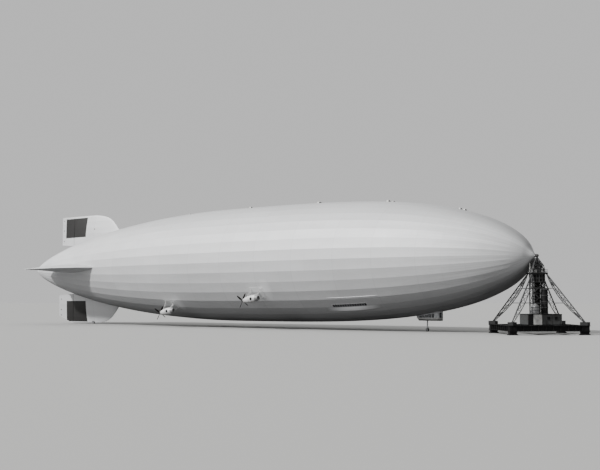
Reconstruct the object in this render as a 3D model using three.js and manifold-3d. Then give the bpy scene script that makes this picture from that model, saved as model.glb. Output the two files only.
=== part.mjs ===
// Rigid airship moored to a mobile lattice mast, a 1:10 scale model.
// Millimetres, +Z up, +X towards the bow. The hull is first laid out along its own axis, with
// station 0 at the stern post. The origin is at the middle of the whole, on the ground.

import * as THREE from 'three';
import { mergeVertices } from 'three/addons/utils/BufferGeometryUtils.js';
import Module from 'manifold-3d';

const wasm = await Module();
wasm.setup();

// Gap between neighbours that touch
const SEAT = 0.35;

// Hull: a polygon of flat panels between ridges, swept along a long curve
const HULL_RADIUS = 2060;
const HULL_SIDES = 36;
const HULL_WALL = 10;
const NOSE_X = 23350;
const WIDEST_X = 11480;
const TAIL_X = -1150;
const AXIS_HEIGHT = 2290;
const AFT_CURVE = { power: 1.96, root: 0.75 };
const BOW_CURVE = { power: 3.6, root: 0.54 };
const HULL_SECTIONS = [
  { name: 'hull_stern', rings: [0, 850, 2050, 3350, 4700] },
  { name: 'hull_aft', rings: [4700, 6200, 7700, 9200] },
  { name: 'hull_middle', rings: [9200, 10750, 12350, 14000] },
  { name: 'hull_forward', rings: [14000, 15650, 17350, 18800] },
  { name: 'hull_bow', rings: [18800, 19600, 20300, 21100, 21800, 22450, 22950] },
];
// Sills under the passenger windows, their angles up from straight down, and vents on the crown
const WINDOW_SILL = { from: 16500, to: 18700, low: 33.7, high: 39.4, height: 40 };
const HULL_VENTS = [
  { x: 5500, length: 160, width: 120, height: 45 },
  { x: 15200, length: 200, width: 140, height: 50 },
  { x: 18150, length: 160, width: 120, height: 45 },
  { x: 20900, length: 100, width: 100, height: 45 },
  { x: 21070, length: 100, width: 100, height: 45 },
];
const TAIL_CONE_RINGS = [0, -300, -600, -850, -1030];
const NOSE_CAP_RINGS = [22950, 23130, 23250, 23315];
const NOSE_TIP = [[23360, 134], [23398, 92], [23424, 50]];

// Mooring spindle ahead of the nose, and the cup that holds it
const SPINDLE = {
  radius: 18, neckEnd: 23440, coneRadius: 34, coneStart: 23452, coneEnd: 23500, tipRadius: 14,
};
const CUP = { outer: 50, length: 90, foot: 34 };

// Fins: height is measured from the hull axis, thickness is the half thickness
const HINGE_X = 1500;
const FIN_SECTIONS = [
  { height: 500, leading: 5130, half: 200 },
  { height: 1200, leading: 4870, half: 178 },
  { height: 1570, leading: 4510, half: 150 },
  { height: 1870, leading: 4210, half: 108 },
  { height: 2040, leading: 3990, half: 76 },
  { height: 2170, leading: 3660, half: 50 },
  { height: 2240, leading: 3300, half: 34 },
  { height: 2275, leading: 2950, half: 22 },
];
const LOWER_FIN_REACH = 2250;
const FIN_OUTLINE = [[0, 0.46], [0.22, 0.82], [0.48, 1], [0.72, 0.86], [0.9, 0.5], [1, 0]];
const RUDDER = {
  root: 1030, rootAft: 1080, tip: 2275, trailing: 655, trimStart: 1400, trimHeight: 1950, edge: 6,
};
const RUDDER_GAP = 6;
const HINGE_BLOCK_HEIGHTS = [1180, 1620, 2040];
const HINGE_BLOCK = { height: 30, width: 22 };
const LOWER_RUDDER_REST = 10;

// Engine cars, one of each pair to port and one to starboard
const CAR_PAIRS = [
  { name: 'front', x: 13925, y: 2060, z: -1266 },
  { name: 'rear', x: 9240, y: 1610, z: -1715 },
];
const CAR_TILT = THREE.MathUtils.degToRad(8.2);
const CAR_PROFILE = [
  [-390, 35], [-300, 76], [-180, 108], [-40, 125], [120, 127], [240, 110], [310, 86], [330, 74],
];
const CAR_WALL = 6;
const CAR_SIDES = 12;
const CAR_INTAKE = 60;
const CAR_WINDOW = { x: 90, radius: 32 };
const ENGINE = { length: 269, width: 102, height: 135, x: -55 };
const BEARER = { length: 220, width: 70 };
const PROPELLER = { radius: 300, restAngle: 56, blades: 4, hubRadius: 30, hubLength: 62 };
const BLADE_SECTIONS = [
  { at: 18, chord: 26, thick: 14, pitch: 60 },
  { at: 110, chord: 42, thick: 9, pitch: 42 },
  { at: 210, chord: 38, thick: 6, pitch: 28 },
  { at: 300, chord: 20, thick: 4, pitch: 20 },
];
const CAR_STRUT = { width: 11, spreadX: 230, spreadSide: 165, carX: 165, carSide: 78 };
const CAR_LADDER = { radius: 24, x: 60 };
const HULL_PLATE = { halfLength: 270, halfWidth: 200, thickness: 4 };

// Control car under the bow
const CONTROL_CAR = {
  front: 20200, aft: 19280, halfWidth: 135, aftHalfWidth: 55, bottom: -1950, waist: -1850, top: -1600,
  wall: 6, noseRadius: 135, aftRake: 90, frontRake: 20,
};
const CONTROL_WINDOWS = { bottom: -1850, count: 5, start: 19395, pitch: 122, width: 98, head: 16 };
const CONTROL_PANES = [[-100, -38], [-30, 30], [38, 100]];

// Landing wheels
const FRONT_WHEEL = { x: 19640, radius: 60, width: 40, axle: 9 };
const TAIL_WHEEL = { x: 2900, radius: 50, width: 30, axle: 8 };
const WHEEL_GAP = 6;
const FORK_PLATE = 8;

// Mooring mast: its square frame is turned from the hull's axis
const MAST = { x: 23490, turn: -45, halfFoot: 1109, halfHead: 215, platform: 1770, deck: 270 };
const MAST_GIRDER = { width: 110, height: 165 };
const MAST_BLOCK = { size: 250, inboard: 70 };
const MAST_SHOE = { length: 230, width: 168, height: 96, overhang: 28 };
const MAST_HOUSE = { length: 820, width: 1006, height: 315, wall: 10, x: 60, y: 70 };
const MAST_TOWER = { half: 175, post: 26, brace: 14, levels: [585, 890, 1195, 1500] };
const MAST_DRUM = { radius: 225 };
const MAST_PLATFORM = { half: 252, thickness: 26 };
const MAST_LEG = { chord: 26, batten: 13, bulge: 165, spread: 62, bays: 7 };
const MAST_RINGS = [{ name: 'lower', bay: 3, size: 18 }, { name: 'upper', bay: 5, size: 18 }];
const MAST_TANK = { x: 340, y: -175, radius: 125, height: 300 };
const MAST_PIPE = { x: 300, y: 124, radius: 94, height: 722 };
const MAST_HEAD = { half: 185, topHalf: 34, height: 440, post: 16, frames: [0.34, 0.68] };
const MAST_WINCH = { half: 112, height: 150, neck: 62, neckHeight: 300 };

const ORIGIN_X = (TAIL_X + MAST.x + mastReach()) / 2;

// How far the mast's base reaches ahead of its middle
function mastReach() {
  const half = MAST.halfFoot + MAST_GIRDER.width / 2;
  const turn = THREE.MathUtils.degToRad(MAST.turn + 45);
  return half * Math.SQRT2 * Math.cos(turn);
}

// Colours and finishes
const FINISHES = {
  cloth: { color: 0xc9cbcc, roughness: 0.55, metalness: 0.2 },
  metal: { color: 0xb8babb, roughness: 0.4, metalness: 0.8 },
  white: { color: 0xe6e6e2, roughness: 0.4, metalness: 0.1 },
  dark: { color: 0x26282a, roughness: 0.6, metalness: 0.3 },
  steel: { color: 0x3c4043, roughness: 0.6, metalness: 0.5 },
  rubber: { color: 0x1b1b1b, roughness: 0.9, metalness: 0 },
  glass: { color: 0x30373c, roughness: 0.1, metalness: 0 },
};

// Closed geometry from rings of points, each ring with as many points as the next.
// A looped skin joins its last ring to its first; an open one gets a flat cap at each end.
function skin(rings, looped = false) {
  const size = rings[0].length;
  const positions = rings.flat().flatMap((p) => [p.x, p.y, p.z]);
  const indices = [];
  const spans = looped ? rings.length : rings.length - 1;
  for (let i = 0; i < spans; i += 1) {
    const next = (i + 1) % rings.length;
    for (let j = 0; j < size; j += 1) {
      const k = (j + 1) % size;
      const [a, b, c, d] = [i * size + j, i * size + k, next * size + k, next * size + j];
      indices.push(a, b, c, a, c, d);
    }
  }
  if (!looped) {
    const last = (rings.length - 1) * size;
    for (let j = 1; j < size - 1; j += 1) {
      indices.push(0, j + 1, j);
      indices.push(last, last + j, last + j + 1);
    }
  }
  const geometry = new THREE.BufferGeometry();
  geometry.setAttribute('position', new THREE.Float32BufferAttribute(positions, 3));
  geometry.setIndex(indices);
  return facingOut(geometry);
}

// Turns the faces over when they enclose a negative volume
function facingOut(geometry) {
  const p = geometry.getAttribute('position');
  const index = geometry.getIndex();
  const [a, b, c] = [new THREE.Vector3(), new THREE.Vector3(), new THREE.Vector3()];
  let volume = 0;
  for (let i = 0; i < index.count; i += 3) {
    a.fromBufferAttribute(p, index.getX(i));
    b.fromBufferAttribute(p, index.getX(i + 1));
    c.fromBufferAttribute(p, index.getX(i + 2));
    volume += a.dot(b.cross(c));
  }
  if (volume < 0) {
    const turned = [];
    for (let i = 0; i < index.count; i += 3) {
      turned.push(index.getX(i), index.getX(i + 2), index.getX(i + 1));
    }
    geometry.setIndex(turned);
  }
  return geometry;
}

// Geometry to a solid that can be joined and cut
function toSolid(geometry) {
  const bare = geometry.clone();
  bare.deleteAttribute('normal');
  bare.deleteAttribute('uv');
  const merged = mergeVertices(bare, 1e-4);
  return new wasm.Manifold(new wasm.Mesh({
    numProp: 3,
    vertProperties: new Float32Array(merged.getAttribute('position').array),
    triVerts: new Uint32Array(merged.getIndex().array),
  }));
}

// A solid back to geometry
function toGeometry(solid) {
  const mesh = solid.getMesh();
  const geometry = new THREE.BufferGeometry();
  geometry.setAttribute('position', new THREE.Float32BufferAttribute(mesh.vertProperties, 3));
  geometry.setIndex(Array.from(mesh.triVerts));
  return geometry;
}

// Joins a list of solids into one
function joined(solids) {
  return solids.reduce((whole, piece) => whole.add(piece));
}

// Named mesh with one of the finishes
function piece(name, geometry, finish) {
  const mesh = new THREE.Mesh(geometry, new THREE.MeshStandardMaterial(FINISHES[finish]));
  mesh.name = name;
  return mesh;
}

// Point at an angle in degrees round the X axis, 0 to port and 90 up
function around(x, radius, degrees) {
  const angle = THREE.MathUtils.degToRad(degrees);
  return new THREE.Vector3(x, radius * Math.cos(angle), radius * Math.sin(angle));
}

// Ring of points round the X axis
function ringX(x, radius, sides, phase = 0) {
  return Array.from({ length: sides }, (_, i) => around(x, radius, phase + (360 * i) / sides));
}

// Turned solid round the X axis from [x, radius] pairs, its ends flat
function turnedX(profile, sides, phase = 0) {
  return skin(profile.map(([x, radius]) => ringX(x, radius, sides, phase)));
}

// Box by its low and high corners
function box(low, high) {
  const geometry = new THREE.BoxGeometry(high[0] - low[0], high[1] - low[1], high[2] - low[2]);
  geometry.translate((low[0] + high[0]) / 2, (low[1] + high[1]) / 2, (low[2] + high[2]) / 2);
  return toSolid(geometry);
}

// Square bar between two points
function bar(from, to, width, depth = width) {
  const along = to.clone().sub(from).normalize();
  const side = new THREE.Vector3(0, 0, 1).cross(along);
  if (side.length() < 0.05) side.set(0, 1, 0);
  side.normalize();
  const up = along.clone().cross(side).normalize();
  const corners = [[1, 1], [-1, 1], [-1, -1], [1, -1]];
  const ring = (end) => corners.map(([s, u]) => end.clone()
    .addScaledVector(side, (s * width) / 2)
    .addScaledVector(up, (u * depth) / 2));
  return toSolid(skin([ring(from), ring(to)]));
}

// Round bar between two points, its flats reaching the radius at the corners
function rod(from, to, radius, sides = 10) {
  const along = to.clone().sub(from).normalize();
  const side = Math.abs(along.z) > 0.9 ? new THREE.Vector3(1, 0, 0) : new THREE.Vector3(0, 0, 1);
  const first = side.clone().cross(along).normalize();
  const second = along.clone().cross(first).normalize();
  const ring = (end) => Array.from({ length: sides }, (_, i) => {
    const angle = (2 * Math.PI * i) / sides;
    return end.clone()
      .addScaledVector(first, radius * Math.cos(angle))
      .addScaledVector(second, radius * Math.sin(angle));
  });
  return toSolid(skin([ring(from), ring(to)]));
}

const at = (x, y, z) => new THREE.Vector3(x, y, z);

// Square bar through a row of points, its sections level, with sides along two directions
function bentBar(points, first, second, width) {
  const corners = [[1, 1], [-1, 1], [-1, -1], [1, -1]];
  return toSolid(skin(points.map((point) => corners.map(([a, b]) => point.clone()
    .addScaledVector(first, (a * width) / 2)
    .addScaledVector(second, (b * width) / 2)))));
}

// Hull radius at a station: a rounded curve to each side of the widest frame
function hullRadius(x) {
  const aft = x < WIDEST_X;
  const end = aft ? TAIL_X : NOSE_X;
  const curve = aft ? AFT_CURVE : BOW_CURVE;
  const share = Math.min(1, Math.abs((x - WIDEST_X) / (end - WIDEST_X)));
  return HULL_RADIUS * (1 - share ** curve.power) ** curve.root;
}

// Open tube of hull between frames
function hullTube(rings) {
  const stations = rings.map((x, i) => {
    if (i === 0) return x + SEAT / 2;
    return i === rings.length - 1 ? x - SEAT / 2 : x;
  });
  const outer = stations.map((x, i) => ringX(x, hullRadius(rings[i]), HULL_SIDES));
  const inner = stations.map((x, i) => ringX(x, hullRadius(rings[i]) - HULL_WALL, HULL_SIDES));
  const tube = toSolid(skin([...outer, ...inner.reverse()], true));
  return toGeometry(joined([tube, ...hullFittings([rings[0], rings.at(-1)])]));
}

// Solid of the hull's outside, grown outwards, over the frames that cover a stretch of it
const ALL_RINGS = [...new Set(HULL_SECTIONS.flatMap((section) => section.rings))];
function hullSolid(from, to, grow) {
  const rings = ALL_RINGS.filter((x, i) => {
    const after = ALL_RINGS[Math.min(i + 1, ALL_RINGS.length - 1)];
    const before = ALL_RINGS[Math.max(i - 1, 0)];
    return after >= from && before <= to;
  });
  return toSolid(turnedX(rings.map((x) => [x, hullRadius(x) + grow]), HULL_SIDES));
}

// Radius of the hull's flat panels at a station and an angle
function panelRadius(x, degrees) {
  const half = 180 / HULL_SIDES;
  const past = ((degrees % (2 * half)) + 2 * half) % (2 * half);
  const cosine = (angle) => Math.cos(THREE.MathUtils.degToRad(angle));
  return (hullRadius(x) * cosine(half)) / cosine(past - half);
}

// Raised form on the hull: its height above the panels swells between two stations and two angles
function hullSwelling({ from, to, low, high, height, steps }) {
  const across = [0, 0.22, 0.5, 0.78, 1];
  const rings = Array.from({ length: steps + 1 }, (_, i) => {
    const x = from + ((to - from) * i) / steps;
    const along = Math.sin((Math.PI * (i + 0.35)) / (steps + 0.7)) ** 0.6;
    const outer = across.map((share) => {
      const degrees = low + share * (high - low);
      const lift = height * along * Math.sin(Math.PI * (0.08 + 0.84 * share)) ** 0.7;
      return around(x, panelRadius(x, degrees) + lift, degrees);
    });
    return [around(x, panelRadius(x, low) - 12, low), ...outer, around(x, panelRadius(x, high) - 12, high)];
  });
  return toSolid(skin(rings));
}

// Forms that a length of hull carries: sills of the passenger windows, and vents on the crown
function hullFittings([from, to]) {
  const { low: sillLow, high: sillHigh } = WINDOW_SILL;
  const shapes = [
    { ...WINDOW_SILL, low: -90 + sillLow, high: -90 + sillHigh, steps: 10 },
    { ...WINDOW_SILL, low: -90 - sillHigh, high: -90 - sillLow, steps: 10 },
  ];
  for (const { x, length, width, height } of HULL_VENTS) {
    const spread = THREE.MathUtils.radToDeg(width / 2 / hullRadius(x));
    const [low, high] = [90 - spread, 90 + spread];
    shapes.push({ from: x - length / 2, to: x + length / 2, low, high, height, steps: 4 });
  }
  return shapes.filter((shape) => shape.from > from && shape.to < to).map(hullSwelling);
}

// Tail cone: a closed shell, open at its front
function tailCone() {
  const outer = TAIL_CONE_RINGS.map((x, i) => ringX(i === 0 ? x - SEAT / 2 : x, hullRadius(x), HULL_SIDES));
  const inner = TAIL_CONE_RINGS.map((x, i) => {
    return ringX(i === 0 ? x - SEAT / 2 : x, hullRadius(x) - HULL_WALL, HULL_SIDES);
  });
  const whole = toSolid(skin([...outer, ringX(TAIL_X, 2, HULL_SIDES)]));
  return toGeometry(whole.subtract(toSolid(skin([ringX(50, inner[0][0].y, HULL_SIDES), ...inner]))));
}

// Nose cap: a closed shell with the mooring spindle on its tip, open at its rear
function noseCap() {
  const cap = NOSE_CAP_RINGS.map((x, i) => [i === 0 ? x + SEAT / 2 : x, hullRadius(x)]);
  const spindle = [
    [SPINDLE.neckEnd - 6, SPINDLE.radius],
    [SPINDLE.neckEnd, SPINDLE.radius],
    [SPINDLE.coneStart, SPINDLE.coneRadius],
    [SPINDLE.coneEnd, SPINDLE.tipRadius],
  ];
  const outer = toSolid(turnedX([...cap, ...NOSE_TIP, ...spindle], HULL_SIDES));
  const room = NOSE_CAP_RINGS.map((x) => [x - HULL_WALL, hullRadius(x) - HULL_WALL]);
  return toGeometry(outer.subtract(toSolid(turnedX(room, HULL_SIDES))));
}

// Nose radius of a rudder at a height, and half thickness of the fin's rear edge there
function hingeRadius(height) {
  const table = FIN_SECTIONS;
  const i = Math.max(1, table.findIndex((row) => row.height >= height));
  const [low, high] = [table[i - 1], table[i]];
  const share = (height - low.height) / (high.height - low.height);
  return FIN_OUTLINE[0][1] * (low.half + share * (high.half - low.half));
}

// Upper fin, standing up from the hull, up to a given reach
function fin(reach, wheelWell) {
  const rings = FIN_SECTIONS.map(({ height, leading, half }) => {
    const rear = HINGE_X + FIN_OUTLINE[0][1] * half + RUDDER_GAP;
    const side = FIN_OUTLINE.map(([share, thick]) => [rear + share * (leading - rear), thick * half]);
    const port = side.map(([x, y]) => at(x, y, height));
    const starboard = side.slice(0, -1).reverse().map(([x, y]) => at(x, -y, height));
    return [...port, ...starboard];
  });
  const blocks = HINGE_BLOCK_HEIGHTS.map((height) => {
    const seat = HINGE_X + hingeRadius(height - HINGE_BLOCK.height / 2) + SEAT;
    const width = Math.min(HINGE_BLOCK.width, hingeRadius(height));
    const half = HINGE_BLOCK.height / 2;
    return box([seat, -width / 2, height - half], [seat + 60, width / 2, height + half]);
  });
  let solid = joined([toSolid(skin(rings)), ...blocks]);
  solid = solid.subtract(hullSolid(1300, 5200, SEAT));
  if (reach < RUDDER.tip) solid = solid.subtract(box([0, -400, reach], [6000, 400, 2600]));
  if (wheelWell) {
    const half = TAIL_WHEEL.radius + 28;
    const top = AXIS_HEIGHT - 2 * TAIL_WHEEL.radius - 20;
    solid = solid.subtract(box([TAIL_WHEEL.x - half, -300, top], [TAIL_WHEEL.x + half, 300, 2600]));
  }
  return toGeometry(solid);
}

// Rudder or elevator behind a fin, hinged on the line x = HINGE_X and drawn round that line
function rudder(trimmed, reach) {
  const heights = [RUDDER.root, 1570, 1870, 2040, 2170, 2240, RUDDER.tip];
  const noseAngles = [90, 60, 30, 0, -30, -60, -90];
  const rings = heights.map((height) => {
    const radius = hingeRadius(height);
    const nose = noseAngles.map((angle) => {
      const turn = THREE.MathUtils.degToRad(angle);
      return at(radius * Math.cos(turn), radius * Math.sin(turn), height);
    });
    const tail = RUDDER.trailing - HINGE_X;
    return [...nose, at(tail, -RUDDER.edge, height), at(tail, RUDDER.edge, height)];
  });
  let solid = toSolid(skin(rings));
  const tail = RUDDER.trailing - HINGE_X;
  const foot = RUDDER.root - 100;
  const below = [[60, foot], [60, RUDDER.root], [tail - 20, RUDDER.rootAft], [tail - 20, foot]];
  solid = solid.subtract(sideCut(below));
  if (trimmed) {
    const start = RUDDER.trimStart - HINGE_X;
    const corner = [[tail - 20, 2700], [200, 2700], [200, reach]];
    const beyond = [[start, reach], [tail - 20, RUDDER.trimHeight], ...corner];
    solid = solid.subtract(sideCut(beyond));
  }
  return toGeometry(solid);
}

// Prism across Y with an outline of [x, z] pairs, for cuts
function sideCut(outline) {
  const ring = (y) => outline.map(([x, z]) => at(x, y, z));
  return toSolid(skin([ring(-500), ring(500)]));
}

// Blade of a propeller that turns about the X axis, pointing up
function blade() {
  const rings = BLADE_SECTIONS.map(({ at: height, chord, thick, pitch }) => {
    const turn = THREE.MathUtils.degToRad(pitch);
    const outline = [[-0.5, 0], [-0.2, 0.5], [0.25, 0.42], [0.5, 0], [0.25, -0.42], [-0.2, -0.5]];
    return outline.map(([u, v]) => {
      const [c, t] = [u * chord, v * thick];
      return at(c * Math.sin(turn) + t * Math.cos(turn), c * Math.cos(turn) - t * Math.sin(turn), height);
    });
  });
  return toSolid(skin(rings));
}

// Propeller: blades and a pointed hub behind the engine car
function propeller() {
  const hub = [[0, PROPELLER.hubRadius], [-34, PROPELLER.hubRadius], [-50, 20], [-PROPELLER.hubLength, 6]];
  const solids = [toSolid(turnedX(hub, 12))];
  for (let i = 0; i < PROPELLER.blades; i += 1) {
    const angle = PROPELLER.restAngle + (360 * i) / PROPELLER.blades;
    solids.push(blade().rotate([angle, 0, 0]).translate([-18, 0, 0]));
  }
  return toGeometry(joined(solids));
}

// Engine car: shell with the air intake and the round side windows cut, about its own middle
function carShell() {
  const outer = toSolid(turnedX(CAR_PROFILE, CAR_SIDES));
  const windows = rod(at(CAR_WINDOW.x, -200, 0), at(CAR_WINDOW.x, 200, 0), CAR_WINDOW.radius, 10);
  const intake = rod(at(200, 0, 0), at(400, 0, 0), CAR_INTAKE, 12);
  return toGeometry(outer.subtract(carCavity(0)).subtract(windows).subtract(intake));
}

// Room inside the engine car, drawn in from the outside by the wall and a clearance
function carCavity(clearance) {
  const inset = CAR_WALL + clearance;
  const profile = CAR_PROFILE.map(([x, radius], i) => {
    if (i === 0) return [x + 40, radius + 12 - inset];
    return i === CAR_PROFILE.length - 1 ? [x - inset, radius - inset] : [x, radius - inset];
  });
  return toSolid(turnedX(profile, CAR_SIDES));
}

// Engine: a plain block on its bearer, which rests in the shell
function engine() {
  const { length, width, height, x } = ENGINE;
  const block = box([x - length / 2, -width / 2, -height / 2], [x + length / 2, width / 2, height / 2]);
  const [long, wide] = [BEARER.length / 2, BEARER.width / 2];
  const bearer = box([x - long, -wide, -180], [x + long, wide, 0]);
  return toGeometry(block.add(bearer).intersect(carCavity(SEAT)));
}

// Struts and ladder tube from a plate on the hull to an engine car, in the hull's own frame
function carStruts(x, y, z) {
  const outward = at(0, y, z).normalize();
  const side = at(0, -outward.z, outward.y);
  const inCar = (along, sideways) => at(along, 0, 0)
    .applyAxisAngle(at(0, 1, 0), -CAR_TILT)
    .add(at(x, y, z))
    .addScaledVector(side, sideways);
  const hullDistance = hullRadius(x) - 20;
  const place = (along, outwards, sideways) => at(x + along, 0, 0)
    .addScaledVector(outward, outwards)
    .addScaledVector(side, sideways);
  const solids = [];
  for (const fore of [-1, 1]) {
    for (const hand of [-1, 1]) {
      const top = place(fore * CAR_STRUT.spreadX, hullDistance, hand * CAR_STRUT.spreadSide);
      solids.push(bar(top, inCar(fore * CAR_STRUT.carX, hand * CAR_STRUT.carSide), CAR_STRUT.width));
      solids.push(bar(top, inCar(fore * CAR_STRUT.carX, -hand * CAR_STRUT.carSide), CAR_STRUT.width * 0.7));
    }
  }
  solids.push(rod(place(CAR_LADDER.x, hullDistance, 0), inCar(CAR_LADDER.x, 0), CAR_LADDER.radius));
  const shell = hullSolid(x - 300, x + 300, SEAT + HULL_PLATE.thickness);
  const corners = [[-1, -1], [1, -1], [1, 1], [-1, 1]];
  const ring = (outwards) => corners.map(([a, b]) => {
    return place(a * HULL_PLATE.halfLength, outwards, b * HULL_PLATE.halfWidth);
  });
  const plate = shell.intersect(toSolid(skin([ring(hullRadius(x) - 120), ring(hullRadius(x) + 40)])));
  let whole = joined([plate, ...solids]);
  whole = whole.subtract(hullSolid(x - 300, x + 300, SEAT));
  const grown = CAR_PROFILE.map(([px, radius]) => [px, radius + SEAT]);
  const car = toSolid(turnedX(grown, CAR_SIDES)).rotate([0, -THREE.MathUtils.radToDeg(CAR_TILT), 0]);
  whole = whole.subtract(car.translate([x, y, z]));
  return toGeometry(whole);
}

// Plan of the control car: round in front, narrow behind, drawn in by an inset, and raked in
// below the waist at both ends
function controlPlan(inset, z) {
  const { halfWidth, aftHalfWidth, noseRadius, waist, bottom } = CONTROL_CAR;
  const below = THREE.MathUtils.clamp((waist - z) / (waist - bottom), 0, 1);
  const front = CONTROL_CAR.front - below * CONTROL_CAR.frontRake;
  const aft = CONTROL_CAR.aft + below * CONTROL_CAR.aftRake;
  const points = [];
  for (let i = 0; i <= 8; i += 1) {
    const turn = -Math.PI / 2 + (Math.PI * i) / 8;
    const middle = front - noseRadius;
    points.push(at(middle + (noseRadius - inset) * Math.cos(turn), (halfWidth - inset) * Math.sin(turn), z));
  }
  points.push(at(aft + 300, halfWidth - inset - 14, z));
  points.push(at(aft + inset, aftHalfWidth - inset, z));
  points.push(at(aft + inset, -aftHalfWidth + inset, z));
  points.push(at(aft + 300, -halfWidth + inset + 14, z));
  return points;
}

// Top of a control car window: a narrow bar is left between it and the hull at its after edge
function windowHead(x) {
  return -hullRadius(x) - CONTROL_WINDOWS.head;
}

// Control car's wall with its windows cut, trimmed to the hull
function controlShell() {
  const { front, bottom, waist, top, wall } = CONTROL_CAR;
  const outer = toSolid(skin([bottom, waist, top].map((z) => controlPlan(0, z))));
  const inner = toSolid(skin([bottom - 10, bottom, waist, top + 10].map((z) => controlPlan(wall, z))));
  let solid = outer.subtract(inner);
  for (let i = 0; i < CONTROL_WINDOWS.count; i += 1) {
    const start = CONTROL_WINDOWS.start + i * CONTROL_WINDOWS.pitch;
    solid = solid.subtract(box([start, -300, CONTROL_WINDOWS.bottom],
      [start + CONTROL_WINDOWS.width, 300, windowHead(start)]));
  }
  for (const [low, high] of CONTROL_PANES) {
    const lowCorner = [front - 100, low, CONTROL_WINDOWS.bottom];
    solid = solid.subtract(box(lowCorner, [front + 100, high, windowHead(front - 100)]));
  }
  return toGeometry(solid.subtract(hullSolid(19200, 20300, SEAT)));
}

// Window glass of the control car: one band inside its wall, trimmed to the hull
function controlGlass() {
  const inset = CONTROL_CAR.wall + SEAT;
  const { waist, top } = CONTROL_CAR;
  const low = CONTROL_WINDOWS.bottom - 12;
  const outer = toSolid(skin([low, waist, top].map((z) => controlPlan(inset, z))));
  const inner = toSolid(skin([low - 5, waist, top + 5].map((z) => controlPlan(inset + 3, z))));
  return toGeometry(outer.subtract(inner).subtract(hullSolid(19200, 20300, SEAT)));
}

// Floor of the control car, between its raked walls
function controlFloor() {
  const inset = CONTROL_CAR.wall + SEAT;
  const { bottom, waist } = CONTROL_CAR;
  const room = toSolid(skin([bottom, waist].map((z) => controlPlan(inset, z))));
  return toGeometry(room.subtract(box([0, -500, bottom + 18], [30000, 500, waist + 10])));
}

// Wheel round the Y axis with a bore for its axle, about its own middle
function wheel({ radius, width, axle }) {
  const half = width / 2;
  const bore = axle + 0.6;
  const profile = [
    [bore, -half], [radius * 0.6, -half * 0.7], [radius * 0.92, -half], [radius, -half * 0.55],
    [radius, half * 0.55], [radius * 0.92, half], [radius * 0.6, half * 0.7], [bore, half],
  ];
  const sides = 18;
  const rings = Array.from({ length: sides }, (_, i) => {
    const turn = -Math.PI / 2 + (2 * Math.PI * i) / sides;
    return profile.map(([r, y]) => at(r * Math.cos(turn), y, r * Math.sin(turn)));
  });
  return skin(rings, true);
}

// Fork and axle of a landing wheel, about the wheel's middle, its stem up to a given height
function fork({ radius, width, axle }, crown, stemTop, stemRadius) {
  const inner = width / 2 + WHEEL_GAP;
  const outer = inner + FORK_PLATE;
  const half = 16;
  const solids = [
    box([-half, inner, -half], [half, outer, crown]),
    box([-half, -outer, -half], [half, -inner, crown]),
    box([-half, -outer, radius + 12], [half, outer, crown]),
    rod(at(0, -outer, 0), at(0, outer, 0), axle, 12),
  ];
  if (stemTop > crown) solids.push(rod(at(0, 0, crown - 4), at(0, 0, stemTop), stemRadius, 10));
  return toGeometry(joined(solids));
}

// Mast: four girders in a square with a cross under the house, on a block at each corner
function mastBase() {
  const { halfFoot, deck } = MAST;
  const { width, height } = MAST_GIRDER;
  const middle = deck - height / 2;
  const solids = [];
  const end = halfFoot + width / 2;
  for (const hand of [-1, 1]) {
    solids.push(bar(at(-end, hand * halfFoot, middle), at(end, hand * halfFoot, middle), width, height));
    solids.push(bar(at(hand * halfFoot, -end, middle), at(hand * halfFoot, end, middle), width, height));
    const cross = hand * MAST_HOUSE.width * 0.35;
    solids.push(bar(at(-halfFoot, cross, middle), at(halfFoot, cross, middle), width * 0.6, height));
    solids.push(bar(at(cross, -halfFoot, middle), at(cross, halfFoot, middle), width * 0.6, height));
    for (const other of [-1, 1]) {
      const half = MAST_BLOCK.size / 2;
      const x = hand * (halfFoot - MAST_BLOCK.inboard);
      const y = other * (halfFoot - MAST_BLOCK.inboard);
      solids.push(box([x - half, y - half, 0], [x + half, y + half, deck]));
    }
  }
  return toGeometry(joined(solids));
}

// Machinery house: walls and roof, open underneath
function mastHouse() {
  const { length, width, height, wall, x, y } = MAST_HOUSE;
  const low = MAST.deck + SEAT;
  const top = MAST.deck + height;
  const outer = box([x - length / 2, y - width / 2, low], [x + length / 2, y + width / 2, top]);
  const inner = box([x - length / 2 + wall, y - width / 2 + wall, low - 20],
    [x + length / 2 - wall, y + width / 2 - wall, top - wall]);
  return toGeometry(outer.subtract(inner));
}

// Central tower: four posts with a frame at each level and crossed braces
function mastTower() {
  const { half, post, brace, levels } = MAST_TOWER;
  const corners = [[1, 1], [-1, 1], [-1, -1], [1, -1]];
  const foot = levels[0] + SEAT;
  const top = levels[levels.length - 1];
  const solids = corners.map(([a, b]) => {
    return bar(at(a * half, b * half, foot), at(a * half, b * half, top), post);
  });
  for (let i = 0; i < 4; i += 1) {
    const [a, b] = corners[i];
    const [c, d] = corners[(i + 1) % 4];
    levels.forEach((level, n) => {
      const z = n === 0 ? level + SEAT + brace / 2 : level - brace / 2;
      solids.push(bar(at(a * half, b * half, z), at(c * half, d * half, z), brace));
      if (n > 0) {
        const below = levels[n - 1] + brace;
        const flip = n % 2 === 0;
        const [e, f, g, h] = flip ? [c, d, a, b] : [a, b, c, d];
        solids.push(bar(at(e * half, f * half, below), at(g * half, h * half, z), brace * 0.8));
      }
    });
  }
  return toGeometry(joined(solids));
}

// Leg chords: the lines run from the base to the platform, by their share of the way up
const LEG_FOOT = MAST.deck + SEAT - 8;
const LEG_HEAD = MAST.platform - MAST_PLATFORM.thickness - SEAT + 10;
const legHeight = (share) => LEG_FOOT + share * (LEG_HEAD - LEG_FOOT);
const legReach = (share) => Math.SQRT2 * (MAST.halfFoot + share * (MAST.halfHead - MAST.halfFoot));
const legInnerReach = (share) => legReach(share) - MAST_LEG.bulge * Math.sin(Math.PI * share);

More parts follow.
